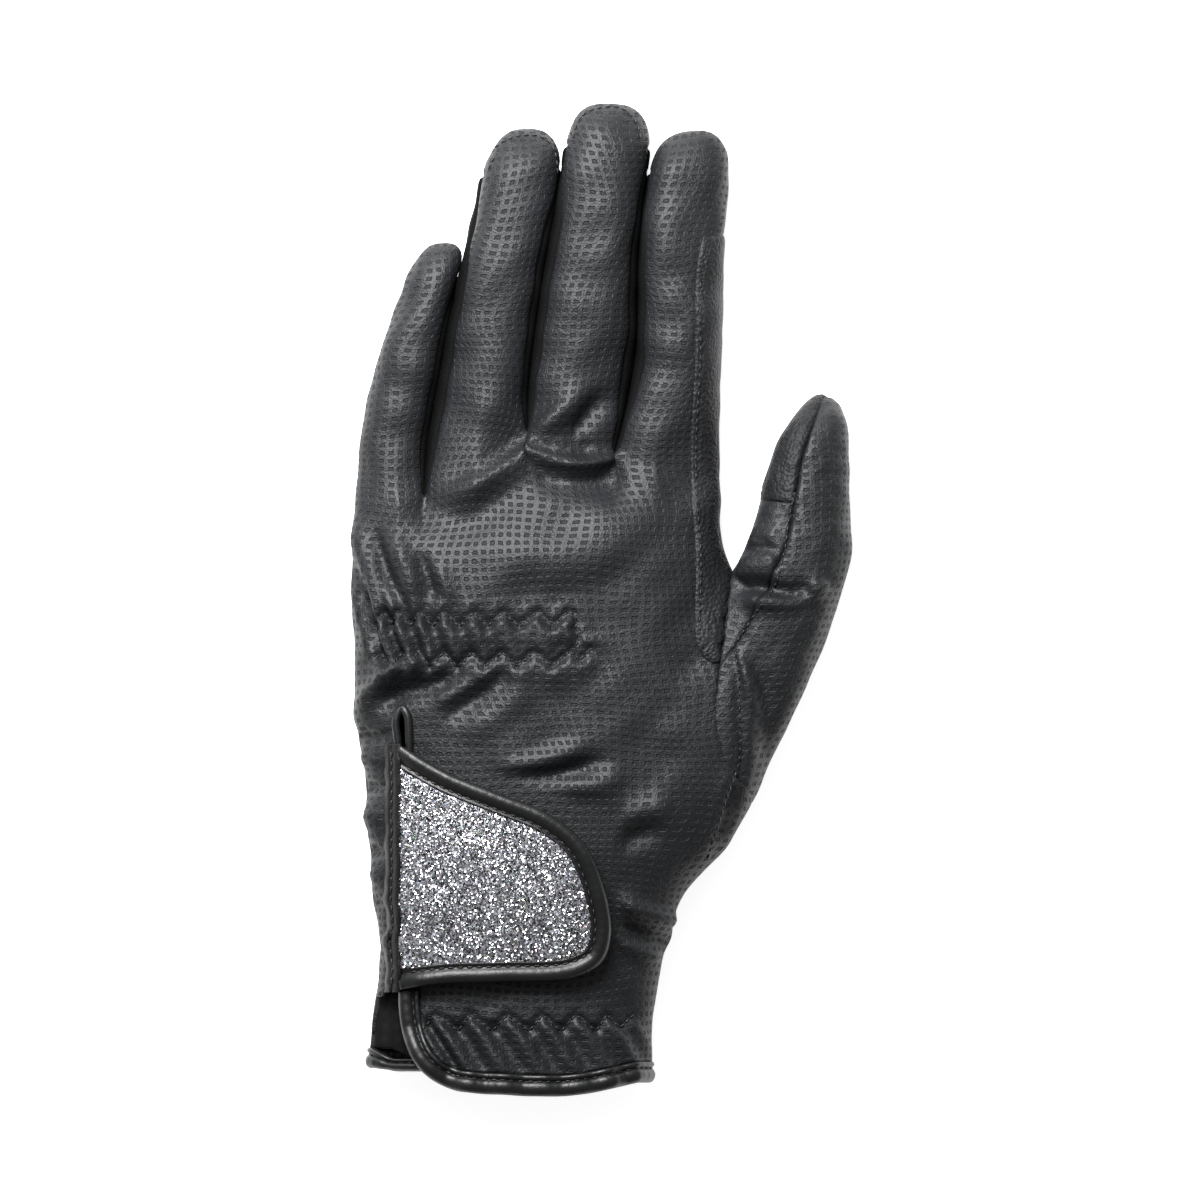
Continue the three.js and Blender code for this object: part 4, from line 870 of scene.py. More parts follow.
BACK_FOLDS = (
    # Ridges and valleys below the finger crotches
    Fold(2.9, 2.7, ((-27.0, 142.2), (-20.4, 144.2), (-12.6, 147.9), (-5.0, 153.0), (0.7, 159.8),
                    (7.0, 166.4), (11.0, 172.5)), 3.6, 0.3),
    Fold(-2.4, 2.8, ((3.0, 157.0), (8.4, 160.6), (13.0, 165.6), (17.0, 170.6)), 0.0, 0.35),
    Fold(2.0, 2.0, ((-6.6, 155.0), (-1.0, 153.6), (4.8, 152.2), (10.8, 151.7), (16.8, 152.9),
                    (20.6, 155.4)), 1.3, 0.15),
    Fold(-2.0, 1.8, ((-3.6, 151.2), (2.8, 148.9), (9.4, 147.9), (15.8, 149.1), (19.9, 152.2)), 4.6),
    Fold(-1.2, 2.2, ((4.8, 157.0), (9.1, 155.6), (13.4, 155.6))),
    Fold(-1.9, 4.4, ((-30.8, 135.6), (-22.6, 138.3), (-13.8, 142.0), (-6.0, 146.2),
                     (0.8, 150.4)), 6.5, 0.35),
    Fold(2.0, 6.5, ((-20.9, 132.8), (-8.8, 130.2), (1.9, 129.6), (12.4, 132.5), (22.2, 138.6),
                    (30.2, 149.9)), 8.0, 0.35),
    Fold(-0.9, 5.0, ((-14.0, 122.0), (-2.0, 120.4), (12.0, 122.0), (24.0, 127.0)), 0.0, 0.35),
    # Below the elastic
    Fold(2.5, 2.2, ((-24.0, 105.0), (-28.8, 104.8), (-33.4, 103.2), (-37.4, 100.3),
                    (-40.8, 96.0), (-42.6, 90.4)), 2.2),
    Fold(-2.3, 2.6, ((-13.8, 103.0), (-21.0, 101.0), (-27.9, 98.7), (-33.4, 97.0),
                     (-37.9, 94.6), (-39.8, 91.6)), 2.6),
    Fold(1.2, 2.6, ((-9.6, 101.6), (-15.0, 99.4), (-20.4, 96.6), (-26.4, 93.6)), 2.4),
    Fold(-1.5, 2.8, ((-4.4, 103.4), (-11.4, 99.4), (-17.4, 94.8), (-24.9, 90.0))),
    Fold(1.0, 4.0, ((2.0, 100.0), (-6.0, 95.0), (-13.0, 90.0), (-20.0, 86.0)), 0.0, 0.35),
    # Over the tab and at the wrist
    Fold(1.6, 2.6, ((-14.6, 75.6), (-6.1, 78.4), (3.8, 81.6), (13.9, 84.6)), 3.4),
    Fold(-2.2, 2.2, ((-20.8, 70.4), (-11.6, 73.6), (-1.0, 76.6), (8.4, 78.9), (18.8, 81.8)), 2.4),
    Fold(1.2, 3.0, ((-2.0, 70.6), (6.0, 72.4), (14.0, 74.6), (22.0, 77.8))),
    Fold(-1.7, 3.2, ((6.8, 55.6), (14.8, 59.7), (23.0, 62.8), (30.8, 66.4))),
    Fold(1.3, 3.4, ((12.4, 61.4), (19.2, 65.4), (26.2, 68.4), (33.0, 70.8))),
    Fold(2.0, 2.2, ((17.0, 47.6), (22.2, 45.4), (27.6, 43.5), (33.0, 41.9)), 0.0, 0.12),
    Fold(-1.9, 1.7, ((14.8, 41.8), (21.0, 39.9), (27.0, 38.2), (32.0, 36.0)), 0.0, 0.12),
    Fold(1.3, 1.8, ((17.0, 38.0), (23.0, 35.2), (29.0, 33.0)), 0.0, 0.15),
    # Between the elastic and the little finger
    Fold(1.4, 2.2, ((-45.0, 141.0), (-43.0, 131.6), (-39.8, 122.4), (-35.9, 113.0)), 2.0, 0.3),
    Fold(-1.7, 2.0, ((-40.6, 138.0), (-37.6, 128.0), (-33.6, 117.5)), 1.8, 0.35),
    Fold(1.3, 2.3, ((-36.0, 137.0), (-32.6, 127.4), (-28.6, 116.5)), 2.2, 0.35),
    Fold(-1.5, 1.8, ((-29.8, 132.6), (-27.0, 125.0), (-24.1, 117.0)), 0.0, 0.35),
    Fold(1.0, 2.2, ((-25.8, 130.2), (-23.4, 123.5), (-20.6, 116.6)), 0.0, 0.4),
    Fold(-1.4, 1.8, ((-46.4, 130.2), (-43.6, 122.6), (-40.0, 114.4)), 0.0, 0.3),
    # Wrinkles across the strip beside the vent
    Fold(-1.7, 1.4, ((-43.5, 87.4), (-39.0, 86.0), (-35.2, 86.8)), 0.0, 0.1),
    Fold(1.4, 2.2, ((-43.5, 81.4), (-39.0, 80.6), (-35.2, 81.8)), 0.0, 0.1),
    Fold(-1.6, 1.4, ((-43.5, 75.2), (-39.0, 73.8), (-35.2, 75.0)), 0.0, 0.1),
    Fold(1.4, 2.8, ((-43.0, 68.0), (-39.0, 67.6), (-35.2, 68.8)), 0.0, 0.1),
    Fold(-1.8, 1.4, ((-43.0, 60.8), (-38.6, 58.6), (-35.2, 59.2)), 0.0, 0.1),
    Fold(1.1, 2.2, ((-42.0, 54.0), (-38.6, 53.0), (-35.2, 54.2)), 0.0, 0.1),
    Fold(-1.2, 1.5, ((-42.0, 47.4), (-38.6, 46.6), (-35.2, 47.2)), 0.0, 0.1),
    Fold(-1.0, 1.5, ((-42.0, 36.4), (-38.6, 35.0), (-35.2, 35.6)), 0.0, 0.1),
)


@dataclass(frozen=True)
class FingerBends:
    """Sideways bends of each finger's crest, where the leather settled over the knuckles."""

    form: HandForm
    depth: float = 3.0
    # For each finger: height up the glove, and the crest's place as a share of half the width
    tables: tuple = (
        ((150, 0.2), (160, 0.3), (170, 0.3), (180, 0.05), (193, 0.5), (203, 0.1)),
        ((150, 0.6), (165, 0.65), (177, 0.5), (187, -0.15), (197, -0.2), (209, -0.05), (223, 0.1)),
        ((158, -0.1), (172, -0.35), (180, -0.3), (194, -0.05), (204, 0.35), (213, 0.4),
         (222, 0.0), (231, -0.2)),
        ((148, -0.6), (158, -0.5), (171, -0.1), (190, 0.05), (200, -0.35), (209, -0.5),
         (220, -0.1), (230, 0.2)),
    )

    def at(self, points: Array) -> tuple[Array, Array]:
        """The height of the bends at points, and how far they carry the leather sideways."""
        height, shift = np.zeros(len(points)), np.zeros(len(points))
        x, y = points[:, 0], points[:, 1]
        for finger, table in enumerate(self.tables):
            left, right = self.form.finger_line(finger, y), self.form.finger_line(finger + 1, y)
            mine = (x >= left) & (x < right) & (y > 130)
            half = (right[mine] - left[mine]) / 2
            u = (x[mine] - left[mine]) / half - 1
            crotch = float(np.mean(self.form.crotch(np.array([finger, finger + 1.0]))))
            start = crotch - (14 if finger in (0, 3) else 4)
            strength = rise(y[mine], start, start + 14)
            crest = through(*zip(*table), y[mine]) * strength
            height[mine] = self.depth * crest * u * (1 - u * u)
            shift[mine] = crest * half
        return height, shift


@dataclass(frozen=True)
class BackRelief:
    """Folds, gathers and soft waves of the glove's back."""

    zigzags: tuple[Zigzag, ...] = (
        Zigzag(UPPER_ZIGZAG), Zigzag(LOWER_ZIGZAG), Zigzag(CUFF_ZIGZAG, (0.9, 0.6)),
    )
    gathers: tuple[Gathers, ...] = (
        Gathers(
            ribs=(-41.4, -37.0, -32.6, -27.4, -21.6, -14.9, -8.2, 0.0, 7.7), middle=110.0,
            lean=0.34,
            low=(100.0, 105.5), high=(113.0, 128.0), depths=(2.9, 0.5),
        ),
        Gathers(
            ribs=(-30.0, -25.2, -16.8, -7.9, 0.5, 8.6, 16.1, 22.6), middle=19.0, lean=0.62,
            low=(2.0, 9.0), high=(16.5, 19.8), depths=(2.7, 0.9),
        ),
    )
    folds: tuple[Fold, ...] = BACK_FOLDS
    tab_corner: tuple[float, float] = (-33.6, 26.9)
    tab_size: tuple[float, float] = (51.0, 57.6)

    def heights(self, points: Array) -> Array:
        """Height of the relief over the smooth form at its points."""
        places = points[:, :2]
        total = np.zeros(len(points))
        for feature in (*self.zigzags, *self.gathers, *self.folds):
            total += feature.heights(places)
        return (total + self._waves(places)) * (1 - self._under_tab(places))

    def _waves(self, places: Array) -> Array:
        """Soft unevenness, a little stronger on the fingers."""
        on_fingers = rise(places[:, 1], 150, 172)
        fine = ripple(places, 12.0, 5)
        broad = ripple(places, 27.0, 9)
        return mix(0.32, 0.3, on_fingers) * broad + mix(0.15, 0.2, on_fingers) * fine

    def _under_tab(self, places: Array) -> Array:
        """Share of flatness under the closure tab."""
        along = (places[:, 0] - self.tab_corner[0]) / self.tab_size[0]
        up = (places[:, 1] - self.tab_corner[1]) / self.tab_size[1]
        top = up - mix(1.0, 0.7, np.clip(along, 0, 1))
        outside = np.maximum.reduce([-0.03 - along, along - 1, -0.02 - up, top])
        return 1 - rise(outside, 0, 0.1)


# The seam between hand and thumb, pressed into both
ROOT_SEAM = (
    (46.8, 107.3), (47.7, 102.0), (47.9, 91.7), (47.7, 80.9), (45.1, 72.5), (42.6, 64.8),
    (40.1, 56.9),
)
ROOT_FOLDS = (
    Fold(-0.75, 0.75, ROOT_SEAM, 0.0, 0.04),
    Fold(0.5, 1.6, tuple((x + 2.0, y) for x, y in ROOT_SEAM), 0.0, 0.2),
    Fold(0.5, 1.6, tuple((x - 2.2, y) for x, y in ROOT_SEAM), 0.0, 0.2),
)

THUMB_FOLDS = (
    Fold(-2.8, 2.1, ((43.0, 121.0), (49.0, 122.6), (55.0, 121.9), (60.5, 120.6),
                     (66.0, 122.4)), 1.6, 0.12),
    Fold(2.0, 2.2, ((48.0, 118.6), (54.0, 118.9), (59.5, 119.3), (65.0, 121.4),
                    (70.0, 124.0)), 2.2, 0.2),
    Fold(1.2, 3.2, ((47.0, 125.2), (52.0, 127.6), (57.0, 128.2)), 0.0, 0.1),
    Fold(0.9, 2.6, ((48.6, 133.6), (53.0, 135.0), (57.5, 134.4)), 0.0, 0.1),
    Fold(-0.9, 1.4, ((47.0, 130.8), (52.0, 131.8), (57.0, 131.2)), 0.0, 0.1),
    Fold(1.3, 1.8, ((45.6, 108.4), (48.8, 103.0), (51.0, 96.2), (52.2, 90.0))),
    Fold(-0.9, 2.4, ((49.6, 108.0), (53.4, 98.6), (54.6, 88.0), (51.0, 76.0))),
)


# Finishes


def add_node(
    tree: bpy.types.NodeTree, kind: str, inputs: dict | None = None, **settings: object
) -> bpy.types.Node:
    """Adds a node with its settings and links.

    Args:
        tree: The material's nodes.
        kind: The node's type.
        inputs: For each input by name or number, a socket to link from or a value.
        settings: The node's own properties.

    Returns:
        The new node.
    """
    node = tree.nodes.new(kind)
    for name, value in settings.items():
        setattr(node, name, value)
    for key, value in (inputs or {}).items():
        if isinstance(value, bpy.types.NodeSocket):
            tree.links.new(value, node.inputs[key])
        else:
            node.inputs[key].default_value = value
    return node


def linear(code: str) -> tuple[float, float, float, float]:
    """Linear colour of an sRGB hex code."""
    parts = [int(code[i:i + 2], 16) / 255 for i in (1, 3, 5)]
    return (*(p / 12.92 if p <= 0.04045 else ((p + 0.055) / 1.055) ** 2.4 for p in parts), 1.0)


def new_material(name: str) -> tuple[bpy.types.Material, bpy.types.NodeTree, bpy.types.Node]:
    """A new material with its nodes and its shader."""
    material = bpy.data.materials.new(name)
    material.use_nodes = True
    tree = material.node_tree
    return material, tree, tree.nodes["Principled BSDF"]


@dataclass(frozen=True)
class SyntheticLeather:
    """Polyurethane-coated knit. Its satin coat gives broad soft highlights over a fine grain."""

    name: str
    colour: str = "#101113"
    worn: str = "#16181b"
    roughness: float = 0.48
    ior: float = 1.34
    grain: float = 0.42
    grain_depth: float = 0.1
    crease_depth: float = 0.08
    unevenness: tuple[float, float] = (-0.05, 0.07)
    embossed: bool = False
    emboss_depth: float = 0.13
    # The pressed squares are coloured darker with their depth: partly their own tone, partly painted
    # shade in the recesses
    emboss_tone_and_shade_colour: str = "#050505"
    emboss_tone_and_shade_strength: float = 0.7
    emboss_dulling: float = 0.35
    pitch: tuple[float, float] = (2.46, 1.93)
    square: tuple[float, float] = (0.7, 0.5)

    def material(self) -> bpy.types.Material:
        """Makes the material."""
        material, tree, shader = new_material(self.name)
        where = add_node(tree, "ShaderNodeTexCoord").outputs["Object"]
        # Pebbled grain, one cell about half a millimetre
        grain = add_node(
            tree, "ShaderNodeTexVoronoi",
            {"Vector": where, "Scale": 1 / (self.grain * MM), "Randomness": 1.0},
            feature="SMOOTH_F1",
        )
        # Worn blotches about a centimetre wide, and creases of about a millimetre and a half
        blotch = add_node(
            tree, "ShaderNodeTexNoise", {"Vector": where, "Scale": 90.0, "Detail": 4.0}
        )
        creases = add_node(
            tree, "ShaderNodeTexNoise",
            {"Vector": where, "Scale": 650.0, "Detail": 3.0, "Roughness": 0.6},
        )
        height = add_node(
            tree, "ShaderNodeMath", {0: grain.outputs["Distance"], 1: self.grain_depth * MM},
            operation="MULTIPLY",
        ).outputs[0]
        height = add_node(
            tree, "ShaderNodeMath",
            {0: creases.outputs["Fac"], 1: self.crease_depth * MM, 2: height},
            operation="MULTIPLY_ADD",
        ).outputs[0]
        base = add_node(
            tree, "ShaderNodeMix",
            {0: blotch.outputs["Fac"], 6: linear(self.colour), 7: linear(self.worn)}, data_type="RGBA",
        ).outputs[2]
        rough = add_node(
            tree, "ShaderNodeMapRange",
            {
                "Value": blotch.outputs["Fac"], "To Min": self.roughness + self.unevenness[0],
                "To Max": self.roughness + self.unevenness[1],
            },
        ).outputs[0]
        if self.embossed:
            depth, recess_tone_and_shade = self._emboss(tree)
            height = add_node(
                tree, "ShaderNodeMath", {0: depth, 1: -self.emboss_depth * MM, 2: height},
                operation="MULTIPLY_ADD",
            ).outputs[0]
            # Darker colour in the sunk outlines: partly the pattern's own tone, partly painted shade
            base = add_node(
                tree, "ShaderNodeMix", {0: recess_tone_and_shade, 6: base, 7: linear(self.emboss_tone_and_shade_colour)},
                data_type="RGBA",
            ).outputs[2]
            rough = add_node(
                tree, "ShaderNodeMath", {0: recess_tone_and_shade, 1: self.emboss_dulling, 2: rough},
                operation="MULTIPLY_ADD",
            ).outputs[0]
        bump = add_node(tree, "ShaderNodeBump", {"Height": height, "Strength": 1.0, "Distance": 1.0})
        for socket, source in (("Base Color", base), ("Roughness", rough), ("Normal", bump.outputs[0])):
            tree.links.new(source, shader.inputs[socket])
        shader.inputs["IOR"].default_value = self.ior
        return material

    def _emboss(
        self, tree: bpy.types.NodeTree
    ) -> tuple[bpy.types.NodeSocket, bpy.types.NodeSocket]:
        """Grid of small squares pressed into the leather, each with a sunk outline.

        Args:
            tree: The material's nodes.

        Returns:
            The depth of the pattern, and how much darker its colour is there: partly the pattern's own
            tone, partly painted shade in the sunk outlines.
        """
        uv = add_node(tree, "ShaderNodeUVMap", uv_map="Pattern").outputs[0]
        cells = add_node(
            tree, "ShaderNodeVectorMath", {0: uv, 1: (1 / self.pitch[0], 1 / self.pitch[1], 1.0)},
            operation="MULTIPLY",
        ).outputs[0]
        share = add_node(tree, "ShaderNodeVectorMath", {0: cells}, operation="FRACTION").outputs[0]
        centred = add_node(
            tree, "ShaderNodeVectorMath", {0: share, 1: (-0.5, -0.5, 0.0)}, operation="ADD"
        ).outputs[0]
        away = add_node(tree, "ShaderNodeVectorMath", {0: centred}, operation="ABSOLUTE").outputs[0]
        in_mm = add_node(
            tree, "ShaderNodeVectorMath", {0: away, 1: (*self.pitch, 0.0)}, operation="MULTIPLY"
        ).outputs[0]
        beyond = add_node(
            tree, "ShaderNodeVectorMath", {0: in_mm, 1: (*self.square, 0.0)},
            operation="SUBTRACT",
        ).outputs[0]
        parts = add_node(tree, "ShaderNodeSeparateXYZ", {0: beyond})
        edge = add_node(
            tree, "ShaderNodeMath", {0: parts.outputs[0], 1: parts.outputs[1], 2: 0.25},
            operation="SMOOTH_MAX",
        ).outputs[0]
        # Worn outlines, no two squares quite the same
        worn = add_node(
            tree, "ShaderNodeTexNoise", {"Vector": uv, "Scale": 0.9, "Detail": 2.0}
        ).outputs["Fac"]
        worn = add_node(
            tree, "ShaderNodeMath", {0: worn, 1: 0.55, 2: -0.24}, operation="MULTIPLY_ADD"
        ).outputs[0]
        edge = add_node(tree, "ShaderNodeMath", {0: edge, 1: worn}, operation="ADD").outputs[0]
        # The outline is sunk all the way, and the middle of the square comes up again
        inside, middle = (
            add_node(
                tree, "ShaderNodeMapRange",
                {"Value": edge, "From Min": start, "From Max": end, "To Min": 0.0, "To Max": top},
                interpolation_type="SMOOTHSTEP",
            ).outputs[0]
            for start, end, top in ((0.1, -0.16, 1.0), (-0.2, -0.42, 0.38))
        )
        depth = add_node(
            tree, "ShaderNodeMath", {0: inside, 1: middle}, operation="SUBTRACT"
        ).outputs[0]
        strength = add_node(tree, "ShaderNodeAttribute", attribute_name="emboss").outputs["Fac"]
        depth = add_node(
            tree, "ShaderNodeMath", {0: depth, 1: strength}, operation="MULTIPLY"
        ).outputs[0]
        # The darkening follows the depth: partly own tone, partly painted shade in the sunk outlines
        recess_tone_and_shade = add_node(
            tree, "ShaderNodeMath", {0: depth, 1: self.emboss_tone_and_shade_strength}, operation="MULTIPLY"
        ).outputs[0]
        return depth, recess_tone_and_shade


@dataclass(frozen=True)
class KnitFabric:
    """Knitted or woven synthetic cloth. Its fine ribs scatter light, so it looks matt and deep."""

    name: str
    colour: str
    light: str
    rib: float
    depth: float
    roughness: float = 0.85
    sheen: float = 0.2
    gloss: float = 0.12
    fuzz_depth: float = 0.04

    def material(self) -> bpy.types.Material:
        """Makes the material."""
        material, tree, shader = new_material(self.name)
        where = add_node(tree, "ShaderNodeTexCoord").outputs["Object"]
        waves = []
        for direction in ("X", "Y"):
            waves.append(add_node(
                tree, "ShaderNodeTexWave",
                {
                    "Vector": where, "Scale": 1 / (self.rib * MM * 20), "Distortion": 1.2,
                    "Detail Scale": 3.0,
                },
                wave_type="BANDS", bands_direction=direction,
            ).outputs["Fac"])
        weave = add_node(
            tree, "ShaderNodeMath", dict(enumerate(waves)), operation="MULTIPLY"
        ).outputs[0]
        noise = add_node(tree, "ShaderNodeTexNoise", {"Vector": where, "Scale": 700.0, "Detail": 3.0})
        # The raised ribs are coloured lighter by the same weave that raises them: painted highlight on
        # the ribs and painted shade between them
        base = add_node(
            tree, "ShaderNodeMix", {0: weave, 6: linear(self.colour), 7: linear(self.light)},
            data_type="RGBA",
        ).outputs[2]
        height = add_node(
            tree, "ShaderNodeMath", {0: weave, 1: self.depth * MM}, operation="MULTIPLY"
        ).outputs[0]
        height = add_node(
            tree, "ShaderNodeMath",
            {0: noise.outputs["Fac"], 1: self.fuzz_depth * MM, 2: height},
            operation="MULTIPLY_ADD",
        ).outputs[0]
        bump = add_node(tree, "ShaderNodeBump", {"Height": height, "Strength": 1.0, "Distance": 1.0})
        tree.links.new(base, shader.inputs["Base Color"])
        tree.links.new(bump.outputs[0], shader.inputs["Normal"])
        shader.inputs["Roughness"].default_value = self.roughness
        shader.inputs["Specular IOR Level"].default_value = self.gloss
        shader.inputs["Sheen Weight"].default_value = self.sheen
        return material


@dataclass(frozen=True)
class GlitterFilm:
    """Metallized film cut into flakes and bonded to cloth. Each flake lies at its own tilt, so it
    flashes white or falls dark;
    its colour is also painted lighter or darker at random: painted glints and painted shade."""

    name: str
    base: bool

    def material(self) -> bpy.types.Material:
        """Makes the material: the speckled ground or the loose flakes."""
        material, tree, shader = new_material(self.name)
        if self.base:
            where = add_node(tree, "ShaderNodeTexCoord").outputs["Object"]
            # Flakes of about a third of a millimetre between the modelled ones, each coloured light or
            # dark at random: painted glints and painted shade in place of their tilts
            cells = add_node(
                tree, "ShaderNodeTexVoronoi", {"Vector": where, "Scale": 1 / (0.36 * MM)}
            )
            ground_glint_and_shade = add_node(tree, "ShaderNodeSeparateColor", {0: cells.outputs["Color"]}).outputs[0]
            base = add_node(
                tree, "ShaderNodeMix", {0: ground_glint_and_shade, 6: linear("#33343a"), 7: linear("#cfd1dc")},
                data_type="RGBA",
            ).outputs[2]
            tree.links.new(base, shader.inputs["Base Color"])
            shader.inputs["Roughness"].default_value = 0.5
            shader.inputs["Metallic"].default_value = 0.4
        else:
            # The flakes' colours hold their own tint and a painted glint or painted shade
            tint_and_glint = add_node(tree, "ShaderNodeAttribute", attribute_name="Tint").outputs["Color"]
            tree.links.new(tint_and_glint, shader.inputs["Base Color"])
            shader.inputs["Roughness"].default_value = 0.3
            shader.inputs["Metallic"].default_value = 1.0
        return material


@dataclass(frozen=True)
class SpunThread:
    """Spun polyester sewing thread, twisted, with a faint shine along each stitch."""

    name: str
    colour: str
    twist_depth: float = 0.04

    def material(self) -> bpy.types.Material:
        """Makes the material."""
        material, tree, shader = new_material(self.name)
        where = add_node(tree, "ShaderNodeTexCoord").outputs["Object"]
        twist = add_node(
            tree, "ShaderNodeTexWave", {"Vector": where, "Scale": 120.0, "Distortion": 2.0},
            bands_direction="DIAGONAL",
        )
        height = add_node(
            tree, "ShaderNodeMath", {0: twist.outputs["Fac"], 1: self.twist_depth * MM},
            operation="MULTIPLY",
        )
        bump = add_node(
            tree, "ShaderNodeBump",
            {"Height": height.outputs[0], "Strength": 1.0, "Distance": 1.0},
        )
        tree.links.new(bump.outputs[0], shader.inputs["Normal"])
        shader.inputs["Base Color"].default_value = linear(self.colour)
        shader.inputs["Roughness"].default_value = 0.55
        return material


class Finish(Enum):
    """The glove's finishes."""

    EMBOSSED = SyntheticLeather("embossed_synthetic_leather", embossed=True)
    SMOOTH = SyntheticLeather(
        "smooth_synthetic_leather", colour="#080809", worn="#0f0f11", roughness=0.52, ior=1.25
    )
    BINDING = SyntheticLeather(
        "folded_leather_tape", colour="#0a0a0b", worn="#121314", roughness=0.38, ior=1.4, grain=0.4,
        grain_depth=0.03, crease_depth=0.08,
    )
    # Matt, and darker than the rest in colour: painted shade, as the leather deep between two fingers
    # lies in shade
    WALL = SyntheticLeather(
        "side_wall_painted_shade_leather", colour="#040404", worn="#070708", roughness=0.7, ior=1.14
    )
    PATCH = SyntheticLeather(
        "pebbled_synthetic_leather", colour="#0e0f10", worn="#16171a", roughness=0.55, ior=1.32,
        grain=0.72, grain_depth=0.3,
    )
    GRIP = SyntheticLeather(
        "grip_leather", colour="#0c0d0e", worn="#141517", roughness=0.55, ior=1.3,
        grain=0.8, grain_depth=0.34,
    )
    GUSSET = KnitFabric(
        "stretch_knit", "#060606", "#0d0d0e", rib=0.5, depth=0.05, roughness=0.95, sheen=0.0
    )
    PILE = KnitFabric("hook_and_loop_pile", "#0a0a0a", "#1b1b1c", rib=0.8, depth=0.3, sheen=0.4)
    GLITTER_GROUND = GlitterFilm("glitter_ground", base=True)
    GLITTER_FLAKES = GlitterFilm("glitter_flakes", base=False)
    THREAD = SpunThread("spun_polyester_thread", "#060607")


class Wardrobe:
    """Makes each finish's material once."""

    def __init__(self) -> None:
        """Starts with none made."""
        self._made: dict[Finish, bpy.types.Material] = {}

    def material(self, finish: Finish) -> bpy.types.Material:
        """The material of a finish."""
        if finish not in self._made:
            self._made[finish] = finish.value.material()
        return self._made[finish]


# Making pieces


@dataclass
class Piece:
    """A finished mesh before it becomes an object."""

    name: str
    points: Array
    triangles: Array
    finish: Finish
    slot: str
    replaces: tuple[str, ...] = ()
    pattern: Array | None = None
    emboss: Array | None = None
    tint_and_glint: Array | None = None
    smooth: bool = True

    def place(self, wardrobe: Wardrobe) -> bpy.types.Object:
        """Makes the object, in metres in the part's frame, and ties it to the frame.

        Args:
            wardrobe: Where the materials come from.

        Returns:
            The object.
        """
        mesh = bpy.data.meshes.new(self.name)
        count = len(self.triangles)
        mesh.vertices.add(len(self.points))
        mesh.vertices.foreach_set("co", ((self.points - ORIGIN) * MM).astype(np.float32).ravel())
        mesh.loops.add(3 * count)
        mesh.loops.foreach_set("vertex_index", self.triangles.astype(np.int32).ravel())
        mesh.polygons.add(count)
        mesh.polygons.foreach_set("loop_start", np.arange(0, 3 * count, 3, dtype=np.int32))
        mesh.polygons.foreach_set("use_smooth", np.full(count, self.smooth))
        mesh.update(calc_edges=True)
        corners = self.triangles.ravel()
        if self.pattern is not None:
            layer = mesh.uv_layers.new(name="Pattern")
            layer.data.foreach_set("uv", self.pattern[corners].astype(np.float32).ravel())
        if self.emboss is not None:
            emboss = mesh.attributes.new("emboss", "FLOAT", "POINT")
            emboss.data.foreach_set("value", self.emboss.astype(np.float32))
        if self.tint_and_glint is not None:
            mesh.color_attributes.new("Tint", "FLOAT_COLOR", "POINT").data.foreach_set(
                "color", self.tint_and_glint.astype(np.float32).ravel()
            )
        mesh.validate()
        mesh.materials.append(wardrobe.material(self.finish))
        made = bpy.data.objects.new(self.name, mesh)
        bpy.context.scene.collection.objects.link(made)
        if self.replaces:
            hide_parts(*self.replaces)
        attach(made, BODY)
        LOG.info("%s: %d triangles", self.name, count)
        return made


def swept(
    path: Array, ups: Array, section: Array, swell: Array | None = None, scale: Array | None = None
) -> tuple[Array, Array]:
    """A closed section carried along a path, with its ends closed.

    Args:
        path: Points of the path.
        ups: The section's upward direction at each point.
        section: Its points as (out, up), out being to the right of the path's way.
        swell: For each point of the path, a factor on the section's height.
        scale: For each point of the path, a factor on its width.

    Returns:
        Points and triangles.
    """
    ways = ways_along(path)
    outs = unit(np.cross(ways, ups))
    ups = np.cross(outs, ways)
    heights = section[None, :, 1] * (np.ones((len(path), 1)) if swell is None else swell[:, None])
    widths = section[None, :, 0] * (np.ones((len(path), 1)) if scale is None else scale[:, None])
    points = path[:, None] + outs[:, None] * widths[..., None] + ups[:, None] * heights[..., None]
    return tube_mesh(points)


def tube_mesh(rings: Array) -> tuple[Array, Array]:
    """Closes rings of points, by station and place round, into a capped tube."""
    n, k = rings.shape[:2]
    grid = np.arange(n * k).reshape(n, k)
    after = np.roll(grid, -1, axis=1)
    a, b, c, d = grid[:-1], after[:-1], after[1:], grid[1:]
    faces = [np.stack(three, axis=-1).reshape(-1, 3) for three in ((a, b, c), (a, c, d))]
    centres = [rings[end].mean(axis=0)[None] for end in (0, -1)]
    points = np.concatenate([rings.reshape(-1, 3), *centres])
    first, last = n * k, n * k + 1
    faces.append(np.stack([grid[0], np.full(k, first), after[0]], axis=1))
    faces.append(np.stack([grid[-1], after[-1], np.full(k, last)], axis=1))
    triangles = np.concatenate(faces)
    a, b, c = (points[triangles[:, i]] for i in range(3))
    volume = np.einsum("ij,ij->i", a, np.cross(b, c)).sum()
    return points, triangles if volume > 0 else triangles[:, ::-1]


